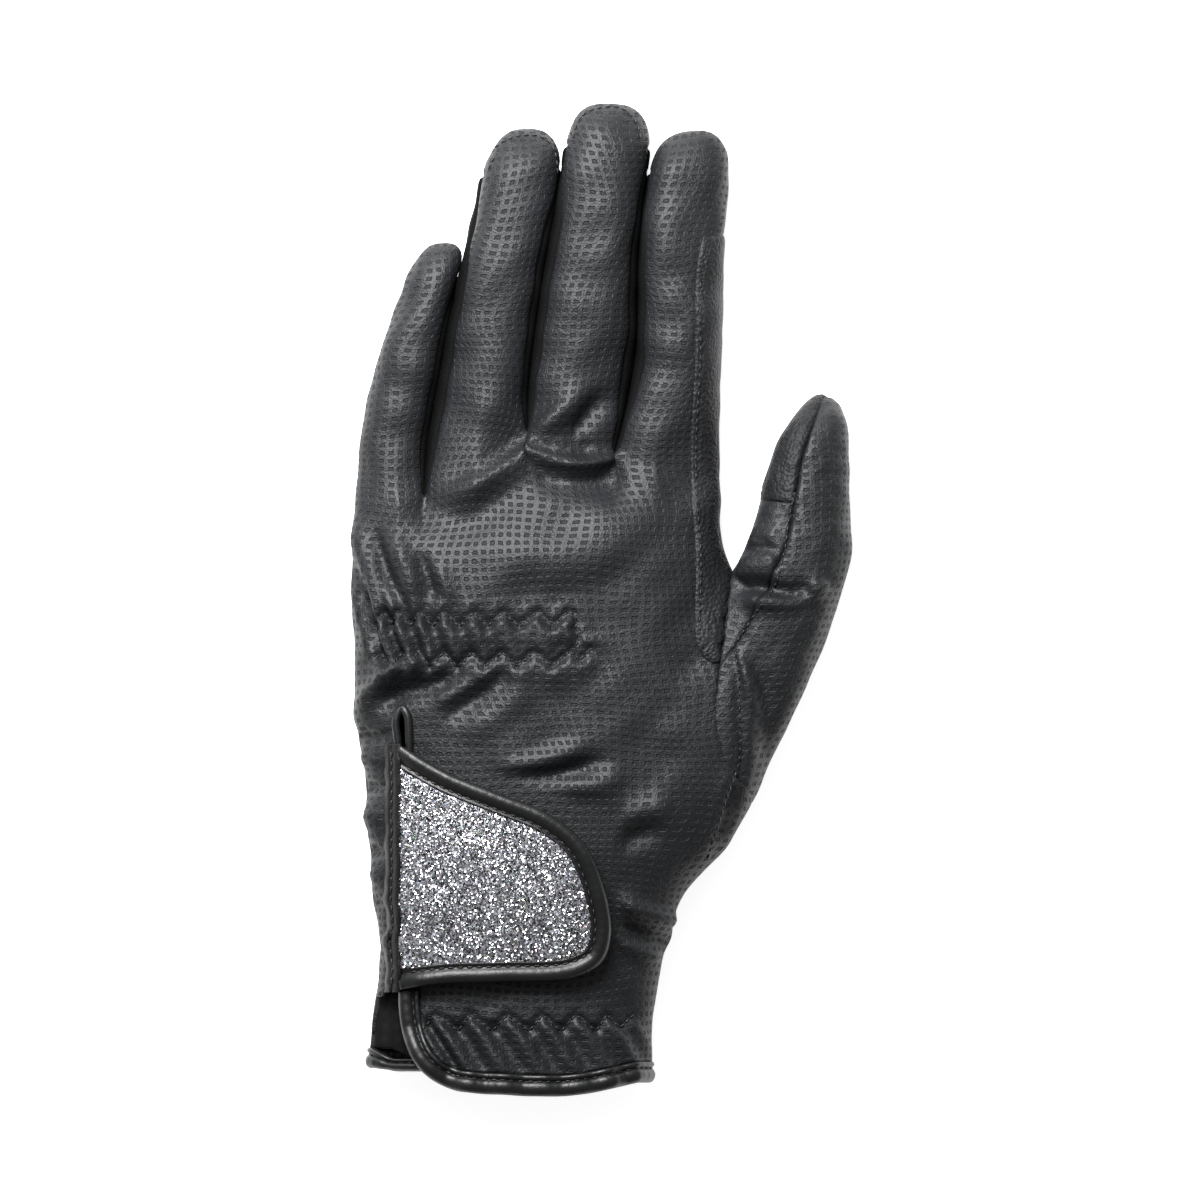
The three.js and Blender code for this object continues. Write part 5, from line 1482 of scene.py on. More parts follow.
class Stitcher:
    """Gathers stitches from all over the glove and makes one mesh of them."""

    def __init__(self, thickness: float = 0.42, sides: int = 6) -> None:
        """Models one stitch, a plump thread that dips into the leather at both ends.

        Args:
            thickness: Of the thread.
            sides: Of its section.
        """
        places = np.array([-0.5, -0.42, -0.2, 0.2, 0.42, 0.5])
        plump = np.array([0.25, 0.8, 1.0, 1.0, 0.8, 0.25])
        rise_ = np.array([-1.1, -0.25, 0.3, 0.3, -0.25, -1.1])
        turn = np.linspace(0, 2 * math.pi, sides, endpoint=False)
        r = thickness / 2
        rings = np.zeros((6, sides, 3))
        rings[..., 0] = places[:, None]
        rings[..., 1] = plump[:, None] * np.cos(turn) * r
        rings[..., 2] = (plump[:, None] * np.sin(turn) + rise_[:, None]) * r
        self.shape, self.faces = tube_mesh(rings)
        self.points: list[Array] = []
        self.triangles: list[Array] = []
        self.count = 0

    def sew(self, path: Array, ups: Array, length: float = 1.7, pitch: float = 2.3) -> None:
        """Lays stitches along a path.

        Args:
            path: Points on the leather.
            ups: Normals of the leather there.
            length: Of one stitch.
            pitch: From one stitch to the next.
        """
        walked = lengths_along(path)
        number = max(1, int(round(walked[-1] / pitch)))
        step = walked[-1] / number
        for i in range(number):
            ends = np.array([(i + 0.5) * step - length / 2, (i + 0.5) * step + length / 2])
            a, b = (np.array([np.interp(e, walked, path[:, k]) for k in range(3)]) for e in ends)
            up = np.array([np.interp((i + 0.5) * step, walked, ups[:, k]) for k in range(3)])
            way = b - a
            size = np.linalg.norm(way)
            if size < 0.2:
                continue
            way /= size
            out = np.cross(up, way)
            out /= max(1e-9, np.linalg.norm(out))
            up = np.cross(way, out)
            local = self.shape
            placed = (a + b) / 2 + local[:, :1] * way * size
            placed = placed + local[:, 1:2] * out + local[:, 2:] * up
            self.points.append(placed)
            self.triangles.append(self.faces + self.count)
            self.count += len(placed)

    def piece(self, name: str) -> Piece:
        """All stitches so far as one piece, and starts anew."""
        made = Piece(
            name, np.concatenate(self.points), np.concatenate(self.triangles), Finish.THREAD,
            "binding_leather",
        )
        self.points, self.triangles, self.count = [], [], 0
        return made


# Sub-assemblies


@dataclass
class HandShell:
    """Back and palm panels with the walls between the fingers."""

    form: HandForm
    thumb: ThumbForm
    relief: BackRelief = BackRelief()
    wall: float = 1.2
    back_columns: int = 28
    palm_columns: int = 12
    side_steps: int = 5
    hand_rows: int = 205
    finger_rows: int = 92
    tip_rows: int = 18
    skin: Skin = field(init=False)

    def rows(self) -> Array:
        """Shares of the finger's length, closer together in the rounded tip."""
        end = self.form.wall_end
        straight = np.linspace(0, end, self.finger_rows + 1)
        rounded = end + (1 - end) * np.sin(np.linspace(0, math.pi / 2, self.tip_rows + 1)[1:])
        return np.concatenate([straight, rounded])[:, None]

    def shape(self) -> None:
        """Builds the skin and presses the relief into it."""
        self.skin = Skin([*self._hand_patches(), *self._finger_patches()])
        skin = self.skin
        facing = rise(skin.normals[:, 2], 0.02, 0.45)
        travel, blend, skin.room = filleted(
            skin.points, skin.normals, self.thumb.outside, self.thumb.root_radius
        )
        bend, slide = FingerBends(self.form).at(skin.points)
        skin.slide = 0.8 * slide
        height = (self.relief.heights(skin.points) * (1 - blend) + bend) * facing
        low_down = rise(skin.points[:, 2], 1.5, 4.0)
        height += 0.12 * ripple(skin.points, 9.0, 3) * (1 - facing) * low_down
        height += sum(fold.heights(skin.points[:, :2]) for fold in ROOT_FOLDS) * facing
        # Each seam is turned in, so the leather rolls down to a sharp line there
        height -= 0.6 * np.exp(-skin.seams / 0.6)
        # The walls between the fingers press against each other
        walls = np.unique(skin.triangles[skin.owners >= 2])
        height[walls] += 0.5 * (1 - np.exp(-skin.seams[walls] / 0.8))
        skin.raise_by(height + travel)
        LOG.info("skin: %d points", len(skin.points))

    def _hand_patches(self) -> list[Patch]:
        """The hand from the hem to the finger crotches."""
        form, row = self.form, np.linspace(0, 1, self.hand_rows + 1)[:, None]
        lanes = np.linspace(0, 4, 4 * self.back_columns + 1)
        low_lanes = np.linspace(4, 0, 4 * self.palm_columns + 1)
        angles = np.linspace(0, form.seam, self.side_steps + 1)
        back = np.concatenate([
            form.side(False, angles[:-1], row), form.point(lanes, row, True),
            form.side(True, angles[::-1][1:], row),
        ], axis=1)
        palm = np.concatenate([
            form.side(True, -angles[:-1], row), form.point(low_lanes, row, False),
            form.side(False, -angles[::-1][1:], row),
        ], axis=1)
        middle = self.side_steps + 2 * self.back_columns
        return [
            Patch(Panel.BACK, back, across_from(back, middle)),
            Patch(Panel.PALM, palm, across_from(palm, palm.shape[1] // 2)),
        ]

    def _finger_patches(self) -> list[Patch]:
        """The fingers' backs and palms and the walls between them."""
        form, along = self.form, self.rows()
        seam = form.seam_angle(along)
        n = self.side_steps
        half = np.linspace(0, 1, n + 1)
        crotches = self._hand_patches()[0].points[-1:]
        last_row = across_from(crotches, self.side_steps + 2 * self.back_columns)[0]
        patches = []
        for finger in range(4):
            top_lanes = finger + np.linspace(0, 1, self.back_columns + 1)
            low_lanes = finger + 1 - np.linspace(0, 1, self.palm_columns + 1)
            top, low = form.point(top_lanes, 1.0, True), form.point(low_lanes, 1.0, False)
            sides = {right: self._side_roots(finger, right) for right in (False, True)}
            web = (form.wall_end > (along[:-1, 0] + along[1:, 0]) / 2)[:, None]
            inner = {False: finger > 0, True: finger < 3}
            # Columns go round clockwise seen from the wrist: up the left side, over, down the right
            top_angle = mix(180 - seam, seam, np.linspace(0, 1, self.back_columns + 1))
            back_roots = np.concatenate([sides[False][n:2 * n], top, sides[True][1:n + 1]])
            back_angle = np.concatenate([
                180 - seam * half[:-1], top_angle, seam * half[::-1][1:],
            ], axis=1)
            points = form.finger(finger, along, back_roots, back_angle)
            centre = n + self.back_columns // 2
            root = last_row[n + finger * self.back_columns + self.back_columns // 2]
            keep = np.ones((len(along) - 1, points.shape[1] - 1), bool)
            keep[:, :n] &= ~(web & inner[False])
            keep[:, -n:] &= ~(web & inner[True])
            patches.append(Patch(Panel.BACK, points, across_from(points, centre) + root, keep))
            low_angle = mix(-seam, seam - 180, np.linspace(0, 1, self.palm_columns + 1))
            palm_roots = np.concatenate([sides[True][n:2 * n], low, sides[False][1:n + 1]])
            palm_angle = np.concatenate(
                [-seam * half[:-1], low_angle, seam * half[::-1][1:] - 180], axis=1
            )
            points = form.finger(finger, along, palm_roots, palm_angle)
            keep = np.ones((len(along) - 1, points.shape[1] - 1), bool)
            keep[:, :n] &= ~(web & inner[True])
            keep[:, -n:] &= ~(web & inner[False])
            across = across_from(points, points.shape[1] // 2)
            patches.append(Patch(Panel.PALM, points, across, keep))
            full = np.linspace(1, -1, 2 * n + 1)
            for right in (False, True):
                if not inner[right]:
                    continue
                angle = seam * full if right else 180 + seam * full
                walls = form.finger(finger, along, sides[right], angle)
                keep = np.broadcast_to(web, (len(along) - 1, 2 * n))
                panel = WALLS[finger if right else finger - 1]
                patches.append(Patch(panel, walls, across_from(walls, n), keep))
        return patches

    def _side_roots(self, finger: int, right: bool) -> Array:
        """The hand's points that a finger's side starts from, down the right or up the left."""
        n, form = self.side_steps, self.form
        full = np.linspace(1, -1, 2 * n + 1)
        if (finger == 3 and right) or (finger == 0 and not right):
            return form.side(right, form.seam * (full if right else -full), 1.0)
        lane = finger + 1 if right else finger
        top, low = form.point(lane, 1.0, True), form.point(lane, 1.0, False)
        drop = ((1 - full) / 2)[:, None]
        return mix(top, low, drop if right else 1 - drop)

    def pieces(self, vent: Array) -> list[Piece]:
        """The panels as pieces.

        Args:
            vent: Outline of the vent that is cut into the back.
        """
        back = self.skin.sheet(Panel.BACK)
        near = (back.points[:, 0] < 20) & (back.points[:, 1] < 110) & (back.normals[:, 2] > 0)
        room = np.full(len(back.points), 9.0)
        room[near] = np.minimum(9, -inside_depth(vent, back.points[near, :2]))
        back = back.trimmed(room)
        # The skins of hand and thumb overlap a little where they meet
        back = back.trimmed(back.room + 0.4)
        palm = self.skin.sheet(Panel.PALM)
        palm = palm.trimmed(palm.room + 0.4)
        made = []
        points, triangles, pattern = back.solid(self.wall)
        warped = askew(pattern, ((2.0, 34.0), (1.1, 36.0)), 21)
        made.append(Piece(
            "back_leather", points, triangles, Finish.EMBOSSED, "embossed_leather",
            ("back_panel",), warped, np.ones(len(points)),
        ))
        points, triangles, _ = palm.solid(self.wall)
        made.append(Piece(
            "palm_leather", points, triangles, Finish.SMOOTH, "smooth_leather", ("palm_panel",)
        ))
        names = ("little_ring", "ring_middle", "middle_index")
        for panel, name in zip(WALLS, names):
            points, triangles, _ = self.skin.sheet(panel).solid(0.9)
            # The walls take the wall finish, whose dark colour is painted shade between the fingers
            made.append(Piece(
                f"side_wall_{name}", points, triangles, Finish.WALL, "smooth_leather",
                (f"fourchette_{name}",),
            ))
        return made


def filleted(
    points: Array, normals: Array, outside: Callable[[Array], Array], radius: float
) -> tuple[Array, Array, Array]:
    """How far points of a body move out where it blends softly into another one.

    Args:
        points: Points of the body's surface.
        normals: Its normals.
        outside: Gives the distance of points outside the other body.
        radius: Reach of the blend.

    Returns:
        The travel of each point, how much it belongs to the blend, from 0 to 1, and how much
        farther it then is from the other body than from its own smooth skin.
    """
    travel, share, room = np.zeros(len(points)), np.zeros(len(points)), np.full(len(points), 9.0)
    near = np.nonzero(outside(points) < 1.5 * radius)[0]
    moved = np.zeros(len(near))
    for _ in range(5):
        gap = outside(points[near] + normals[near] * moved[:, None])
        part = np.clip(1 - np.abs(gap - moved) / radius, 0, 1)
        moved = radius / 4 * part**2
    travel[near], share[near] = moved, rise(part, 0.3, 0.85)
    room[near] = np.minimum(9, outside(points[near] + normals[near] * moved[:, None]) - moved)
    return travel, share, room


def across_from(points: Array, centre: int) -> Array:
    """Distance walked across each row of a grid from its centre column."""
    steps = np.linalg.norm(np.diff(points, axis=1), axis=2)
    walked = np.concatenate([np.zeros((len(points), 1)), np.cumsum(steps, axis=1)], axis=1)
    return walked - walked[:, centre:centre + 1]


@dataclass
class Thumb:
    """The thumb's two halves and the grip patch over its tip."""

    form: ThumbForm
    hand: HandForm
    wall: float = 1.2
    columns: tuple[int, int] = (40, 30)
    row_count: int = 150
    patch_from: float = 0.745
    skin: Skin = field(init=False)

    def shape(self) -> None:
        """Builds the skin and presses its folds into it."""
        t = np.linspace(0, 1, self.row_count + 1)
        rounded = 0.85 + 0.15 * np.sin((t - 0.85) / 0.15 * math.pi / 2)
        along = np.where(t < 0.85, t, rounded)[:, None]
        seam = self.form.seam_at(along)
        outer = self.form.rings(
            along, mix(seam, self.form.palm_seam, np.linspace(0, 1, self.columns[0] + 1))
        )
        inner = self.form.rings(
            along, mix(self.form.palm_seam, seam - 360, np.linspace(0, 1, self.columns[1] + 1))
        )
        self.along = along
        across = across_from(outer, 12)
        self.skin = Skin([
            Patch(Panel.THUMB_OUTER, outer, across),
            Patch(Panel.THUMB_INNER, inner, across_from(inner, 0)),
        ])
        skin = self.skin
        facing = rise(skin.normals[:, 2], 0.0, 0.45)
        places = skin.points[:, :2]
        travel, blend, skin.room = filleted(
            skin.points, skin.normals, self.hand.outside, self.form.root_radius
        )
        height = sum(fold.heights(places) for fold in THUMB_FOLDS)
        height = height * facing + 0.25 * ripple(skin.points, 12.0, 14)
        height += 0.12 * ripple(skin.points, 5.0, 15) * facing
        height -= mix(0.4, 0.05, rise(places[:, 1], 158, 170)) * np.exp(-skin.seams / 0.55)
        height *= rise(skin.points[:, 2], 0.4, 2.0) * (1 - blend)
        height += sum(fold.heights(places) for fold in ROOT_FOLDS) * facing
        skin.raise_by(height + travel)

    def pieces(self) -> list[Piece]:
        """The thumb's pieces."""
        made = []
        for panel, name, finish, slot in (
            (Panel.THUMB_OUTER, "thumb_outer", Finish.EMBOSSED, "embossed_leather"),
            (Panel.THUMB_INNER, "thumb_inner", Finish.EMBOSSED, "smooth_leather"),
        ):
            sheet = self.skin.sheet(panel)
            sheet = sheet.trimmed(sheet.room + 0.4)
            points, triangles, pattern = sheet.solid(self.wall)
            low, high = 152, 170
            emboss = mix(1.0, 0.25, rise(points[:, 1], low, high))
            if panel is Panel.THUMB_INNER:
                emboss *= 0.65
            warped = askew(pattern, ((1.0, 30.0), (0.6, 26.0)), 31)
            made.append(Piece(
                f"{name}_leather", points, triangles, finish, slot, (name,), warped, emboss
            ))
        made.append(self._grip())
        return made

    def _grip(self) -> Piece:
        """The grip patch, a second layer over the inner half's tip."""
        sheet = self.skin.sheet(Panel.THUMB_INNER)
        keys, columns = self.form.table()
        x, y = (through(keys, column, self.patch_from) for column in columns[:2])
        ahead = [through(keys, column, self.patch_from + 0.02) for column in columns[:2]]
        way = np.array([ahead[0] - x, ahead[1] - y])
        way /= np.linalg.norm(way)
        room = (sheet.points[:, :2] - np.array([x, y])) @ way
        room = np.minimum(room, sheet.seams - 0.15)
        sheet = sheet.trimmed(room)
        edge = sheet.edge_distance()
        top = 0.12 + 0.48 * (1 - np.exp(-edge / 1.1))
        line = (sheet.points[:, :2] - np.array([x, y])) @ way
        for at in (1.1, 2.4):
            top -= 0.25 * np.exp(-(((line - at) / 0.3) ** 2))
        sheet = sheet.moved(top)
        points, triangles, _ = sheet.solid(top - 0.05)
        return Piece(
            "thumb_grip_patch", points, triangles, Finish.GRIP, "grip_fabric", ("thumb_tip_patch",)
        )


@dataclass
class IndexPatch:
    """Smooth reinforcement sewn over the index finger's outer side."""

    shell: HandShell
    low: float = 4.06
    edge: tuple = (
        (0.439, 1.284), (0.421, 1.23), (0.418, 1.1), (0.407, 0.98), (0.408, 0.9), (0.42, 0.81),
        (0.418, 0.69), (0.425, 0.668), (0.442, 0.654), (0.472, 0.645), (0.508, 0.643),
    )

    def outline(self) -> Array:
        """Its left edge and round end."""
        form = self.shell.form
        return np.array([form.place(*spot) for spot in self.edge])

    def piece(self) -> Piece:
        """The patch as a piece."""
        form = self.shell.form
        sheet = self.shell.skin.sheet(Panel.BACK, Panel.PALM)
        centre = sheet.points[sheet.triangles].mean(axis=1)
        near = (centre[:, 0] > 0.3 * form.width) & (centre[:, 1] > 0.58 * form.length)
        sheet = sheet.chosen(near)
        left = smooth_path(self.outline(), 60)
        beyond = np.array([form.place(0.8, 0.643), form.place(0.8, 1.284)])
        closed = np.concatenate([left, beyond])
        depth = inside_depth(closed, sheet.points[:, :2])
        room = np.minimum.reduce([
            depth, sheet.points[:, 2] - self.low, self.shell.thumb.outside(sheet.points) - 0.6,
        ])
        sheet = sheet.trimmed(room)
        from_left, _, _ = beside_path(left, sheet.points[:, :2])
        edge = sheet.edge_distance()
        # The side seam under the patch shows through it only faintly
        fill = 0.45 * np.exp(-sheet.seams / 0.62)
        top = 0.12 + fill + 0.62 * (1 - np.exp(-edge / 0.8))
        top -= 0.32 * np.exp(-(((from_left - 1.2) / 0.4) ** 2))
        sheet = sheet.moved(top)
        points, triangles, _ = sheet.solid(np.maximum(0.1, top - 0.08))
        return Piece(
            "index_reinforcement", points, triangles, Finish.PATCH, "smooth_leather",
            ("index_patch",),
        )


@dataclass
class Vent:
    """The vent in the back: keyhole, slit, the gusset behind it and the piping round it."""

    shell: HandShell
    keyhole: tuple = (
        (-0.351, 0.53), (-0.353, 0.556), (-0.357, 0.57), (-0.368, 0.578), (-0.38, 0.572),
        (-0.387, 0.558), (-0.381, 0.53),
    )
    slit_left: tuple = ((-0.378, 0.2), (-0.4, 0.165), (-0.43, 0.15), (-0.56, 0.15), (-0.56, -0.05))
    overcuff: tuple = (
        (-0.351, 0.53), (-0.345, 0.35), (-0.336, 0.22), (-0.326, 0.167), (-0.324, 0.13),
        (-0.313, 0.095), (-0.292, 0.068), (-0.265, 0.053), (-0.235, 0.0438),
    )
    # Right edge, low end and high end, as shares of the hand
    gusset_box: tuple = (-0.29, 0.02, 0.5)
    gusset_top: float = -2.3
    gusset_thickness: float = 0.8
    # How much deeper and thinner the fabric is than the room that its hem leaves for it
    gusset_slack: tuple[float, float] = (0.3, 0.2)
    piping: float = 1.0

    def edge(self) -> Array:
        """The overcuff's edge, from the keyhole down to its rounded corner."""
        return smooth_path([self.shell.form.place(*spot) for spot in self.overcuff], 60)

    def outline(self) -> Array:
        """Outline of all that is cut away from the back."""
        place = self.shell.form.place
        keyhole = smooth_path([place(*spot) for spot in self.keyhole], 36)
        corners = [self.keyhole[-1], *self.slit_left, (-0.235, -0.05)]
        return np.concatenate([
            keyhole[:-1], [place(*spot) for spot in corners], self.edge()[1:][::-1],
        ])

    def pieces(self, back: Surface) -> list[Piece]:
        """Gusset and piping.

        Args:
            back: The creased back, which the piping lies on.
        """
        form = self.shell.form
        skin = self.shell.skin
        smooth = Sheet(
            skin.smooth, skin.normals, np.zeros((len(skin.points), 2)), skin.seams, skin.room,
            skin.triangles,
        )
        smooth = smooth.chosen(skin.owners == 0)
        centre = smooth.points[smooth.triangles].mean(axis=1)
        near = (centre[:, 0] < -0.15 * form.width) & (centre[:, 1] < 0.6 * form.length)
        smooth = smooth.chosen(near)
        right, low, high = self.gusset_box
        x, y = smooth.points[:, 0], smooth.points[:, 1]
        room = np.minimum.reduce([
            right * form.width - x, y - low * form.length, high * form.length - y,
        ])
        sheet = smooth.trimmed(room)
        wave = 0.25 * ripple(sheet.points, 14.0, 41)
        # Sewn to the palm along the side seam
        deeper, thinner = self.gusset_slack
        low_side = self.gusset_top + wave - deeper
        sheet = sheet.moved(mix(-0.5, low_side, rise(sheet.seams, 0.5, 5.0)))
        points, triangles, _ = sheet.solid(self.gusset_thickness - thinner)
        gusset = Piece(
            "stretch_gusset", points, triangles, Finish.GUSSET, "gusset_fabric", ("vent_gusset",)
        )
        first, last = self.keyhole[0], self.keyhole[-1]
        spots = [(first[0], first[1] - 0.03), *self.keyhole, (last[0], last[1] - 0.03)]
        path = smooth_path([form.place(*spot) for spot in spots], 64)
        points, normals = back.drop(path)
        points += normals * (self.piping * 0.6)
        turn = np.linspace(0, 2 * math.pi, 14, endpoint=False)
        section = self.piping * np.stack([np.cos(turn), np.sin(turn)], axis=1)
        ups = np.tile([0.0, 0.0, 1.0], (len(points), 1))
        points, triangles = swept(points, ups, section)
        piping = Piece(
            "keyhole_piping", points, triangles, Finish.BINDING, "binding_leather", ("vent_piping",)
        )
        return [gusset, piping]


@dataclass
class HemBindings:
    """Folded tape round the wrist edges, with a ridge on each side of its stitched groove."""

    shell: HandShell
    vent: Vent
    tab_low: float = 25.7
    # out from the leather's edge, up from its surface
    section: tuple = (
        (0.0, -0.1), (0.03, 0.3), (0.3, 0.6), (0.75, 0.7), (1.1, 0.56), (1.35, 0.2), (1.55, 0.02),
        (1.75, 0.18), (2.05, 0.55), (2.6, 0.8), (3.3, 0.86), (4.0, 0.7), (4.6, 0.3), (4.95, -0.2),
        (5.05, -0.7), (4.8, -1.25), (4.3, -1.7), (3.6, -1.9), (2.7, -1.9), (2.0, -1.7),
        (1.3, -1.85),
        (0.5, -1.75), (0.05, -1.4),
    )
    groove: tuple[float, float] = (1.55, 0.08)
    gusset_hem: tuple[float, float] = (9.1, 0.58)

    def pieces(self, back: Surface, stitcher: Stitcher) -> list[Piece]:
        """The two bindings, with their stitches.

        Args:
            back: The creased back.
            stitcher: Takes the stitches.
        """
        skin = self.shell.skin
        ring_back = skin.grids[0][0]
        ring_palm = skin.grids[1][0]
        edge = self.vent.edge()
        over = edge[edge[:, 1] < self.tab_low]
        points, _ = back.drop(over + np.array([0.5, 0.5]))
        points[:, :2] = over
        upright = np.tile([0.0, 0.0, 1.0], (len(points), 1))
        hem = skin.points[ring_back]
        keep = hem[:, 0] > over[-1, 0] + 2
        path = np.concatenate([points, hem[keep]])
        ups = np.concatenate([upright, skin.normals[ring_back][keep]])
        made = [self._binding("overcuff_binding", path, ups, "hem_binding_back", stitcher)]
        # The palm's binding goes on, narrower, as the hem of the gusset, which lies deeper
        drop = self.vent.gusset_top - self.vent.gusset_thickness / 2 + self.shell.wall / 2
        count = int(np.searchsorted(hem[:, 0], -26.0))
        height, share = self.gusset_hem
        step = rise(np.arange(count), 1, 7)
        sunk = skin.normals[ring_back][:count] * (drop * step)[:, None]
        more = skin.points[ring_back][:count] + sunk
        more[:, 1] = mix(more[:, 1], height, step)
        path = np.concatenate([skin.points[ring_palm][:-1], more])
        ups = np.concatenate([skin.normals[ring_palm][:-1], skin.normals[ring_back][:count]])
        scale = np.concatenate([np.ones(len(ring_palm) - 1), mix(1.0, share, step)])
        made.append(self._binding("palm_binding", path, ups, "hem_binding_palm", stitcher, scale))
        return made

    def _binding(
        self, name: str, path: Array, ups: Array, node: str, stitcher: Stitcher,
        scale: Array | None = None,
    ) -> Piece:
        """One binding along a path of points with their upward directions.

        Args:
            name: Name of the piece.
            path: Points of the leather's edge.
            ups: Normals of the leather there.
            node: The solid that it replaces.
            stitcher: Takes the stitches.
            scale: Width of the binding at each point, as a share of the section's.
        """
        scale = np.ones(len(path)) if scale is None else scale
        walked = lengths_along(path)
        at = np.linspace(0, walked[-1], int(walked[-1] / 0.5))
        both = np.concatenate([path, ups, scale[:, None]], axis=1)
        both = np.stack([np.interp(at, walked, both[:, k]) for k in range(7)], axis=1)
        path, ups, scale = both[:, :3], both[:, 3:6], both[:, 6]
        for _ in range(6):
            path[1:-1] = (path[:-2] + 2 * path[1:-1] + path[2:]) / 4
            ups[1:-1] = (ups[:-2] + 2 * ups[1:-1] + ups[2:]) / 4
        ups = unit(ups)
        walked = lengths_along(path)
        swell = 1 + 0.05 * np.cos(2 * math.pi * walked / 2.3) + 0.06 * ripple(path, 8.0, 51)
        points, triangles = swept(path, ups, np.array(self.section), swell, scale)
        points[:, 2] = np.maximum(points[:, 2], 0.0)
        outs = unit(np.cross(ways_along(path), ups))
        line = path + outs * (self.groove[0] * scale)[:, None] + ups * (self.groove[1] + 0.02)
        stitcher.sew(line, ups)
        return Piece(name, points, triangles, Finish.BINDING, "binding_leather", (node,))


@dataclass
class ClosureTab:
    """The closure tab: anchor strip, hook-and-loop pad, base, padded binding and glitter face."""

    form: HandForm
    corner: tuple[float, float] = (-0.3775, 0.167)
    length: float = 0.573 * 89.0
    height: float = 0.3578 * 161.0
    base_low: float = 2.0
    outline_shares: tuple = (
        (0, 1), (0.222, 0.8875), (0.475, 0.796), (0.703, 0.7125), (0.867, 0.592), (0.955, 0.4225),
        (0.995, 0.229), (0.955, 0.1), (0.825, 0.03), (0.472, 0.01), (0.222, 0.004), (0, -0.02),
    )
    # inset from the tab's edge, height over the smooth back
    section: tuple = (
        (4.9, 2.1), (0.9, 2.0), (0.35, 2.2), (0.05, 2.65), (0.0, 3.15), (0.2, 3.75), (0.65, 4.25),
        (1.3, 4.5), (2.0, 4.5), (2.7, 4.25), (3.25, 3.85), (3.6, 3.5), (3.85, 3.38), (4.1, 3.5),
        (4.45, 3.74), (4.8, 3.72), (5.1, 3.5), (5.15, 3.2),
    )
    stitch_at: tuple[float, float] = (3.85, 3.44)
    flake_count: int = 17000
    flake_size: float = 0.48
    # Heights over the smooth back
    flake_low: float = 3.66
    glitter: tuple[float, float] = (3.15, 3.55)
    pad: tuple[float, float] = (0.5, 1.7)

    def edge(self, count: int = 240) -> Array:
        """The tab's edge from its top left corner round its nose to the bottom left."""
        x, y = self.form.place(*self.corner)
        places = [(x + a * self.length, y + b * self.height) for a, b in self.outline_shares]
        return smooth_path(places, count)

    def inset(self, edge: Array, distance: Array | float) -> Array:
        """The edge drawn in towards the tab's middle."""
        way = ways_along(edge)
        return edge + np.stack([way[:, 1], -way[:, 0]], axis=1) * np.reshape(distance, (-1, 1))

    def pieces(self, under: Surface, stitcher: Stitcher) -> list[Piece]:
        """The tab's pieces, laid over the smooth back.

        Args:
            under: The smooth back.
            stitcher: Takes the stitches.
        """
        edge = self.edge()
        made = [self._binding(edge, under, stitcher)]
        left = edge[0, 0]
        whole = np.concatenate([
            self.inset(edge, 0.8)[2:-2], [[left, edge[-1, 1] + 0.8]], [[left, edge[0, 1] - 1.0]],
        ])
        points, triangles = self._layer(whole, under, self.base_low, self.base_low + 1.1)
        made.append(Piece(
            "tab_base_layer", points, triangles, Finish.SMOOTH, "smooth_leather", ("tab_base",)
        ))
        inner = self.inset(edge, 4.9)
        inner = inner[(inner[:, 0] > left - 0.4)]
        inner = np.concatenate([inner, [[left - 0.3, inner[-1, 1]]], [[left - 0.3, inner[0, 1]]]])
        points, triangles = self._layer(inner, under, *self.glitter)
        made.append(Piece(
            "glitter_ground", points, triangles, Finish.GLITTER_GROUND, "glitter_fabric",
            ("tab_glitter",),
        ))
        made.append(self._flakes(inner, under))
        x, y = self.form.place(*self.corner)
        pad = np.array([
            (x + a * self.length, y + b * self.height)
            for a, b in ((0.3, 0.18), (0.8, 0.18), (0.8, 0.62), (0.3, 0.62))
        ])
        points, triangles = self._layer(pad, under, *self.pad)
        made.append(Piece(
            "hook_and_loop_pad", points, triangles, Finish.PILE, "hook_and_loop", ("tab_fastener",)
        ))
        made.append(self._anchor(edge, under, stitcher))
        return made

    def _binding(self, edge: Array, under: Surface, stitcher: Stitcher) -> Piece:
        """The padded binding round the tab's edge."""
        section = np.array(self.section)
        walked = lengths_along(edge)
        rings = np.zeros((len(edge), len(section), 3))
        pucker = 0.02 * np.cos(2 * math.pi * walked / 2.3) + 0.07 * ripple(edge, 11.0, 61)
        # It flattens where the anchor strip holds its ends
        ends = rise(walked, 0, 5) * (1 - rise(walked, walked[-1] - 5, walked[-1]))
        for k, (inset, height) in enumerate(section):
            flat = self.inset(edge, inset)
            flat[:, 0] = np.maximum(flat[:, 0], edge[0, 0] - 0.6)
            raised = height if height < 2.3 else mix(2.9 + (height - 2.9) * 0.55, height, ends)
            rings[:, k] = under.raised(flat, raised + (pucker if height > 3.3 else 0))
        points, triangles = tube_mesh(rings)
        line = self.inset(edge, self.stitch_at[0])[5:-5]
        line = line[line[:, 0] > edge[0, 0] + 1]
        on, ups = under.lifted(line, self.stitch_at[1] + 0.06)
        stitcher.sew(on, ups)
        return Piece(
            "tab_padded_binding", points, triangles, Finish.BINDING, "binding_leather",
            ("tab_binding",),
        )

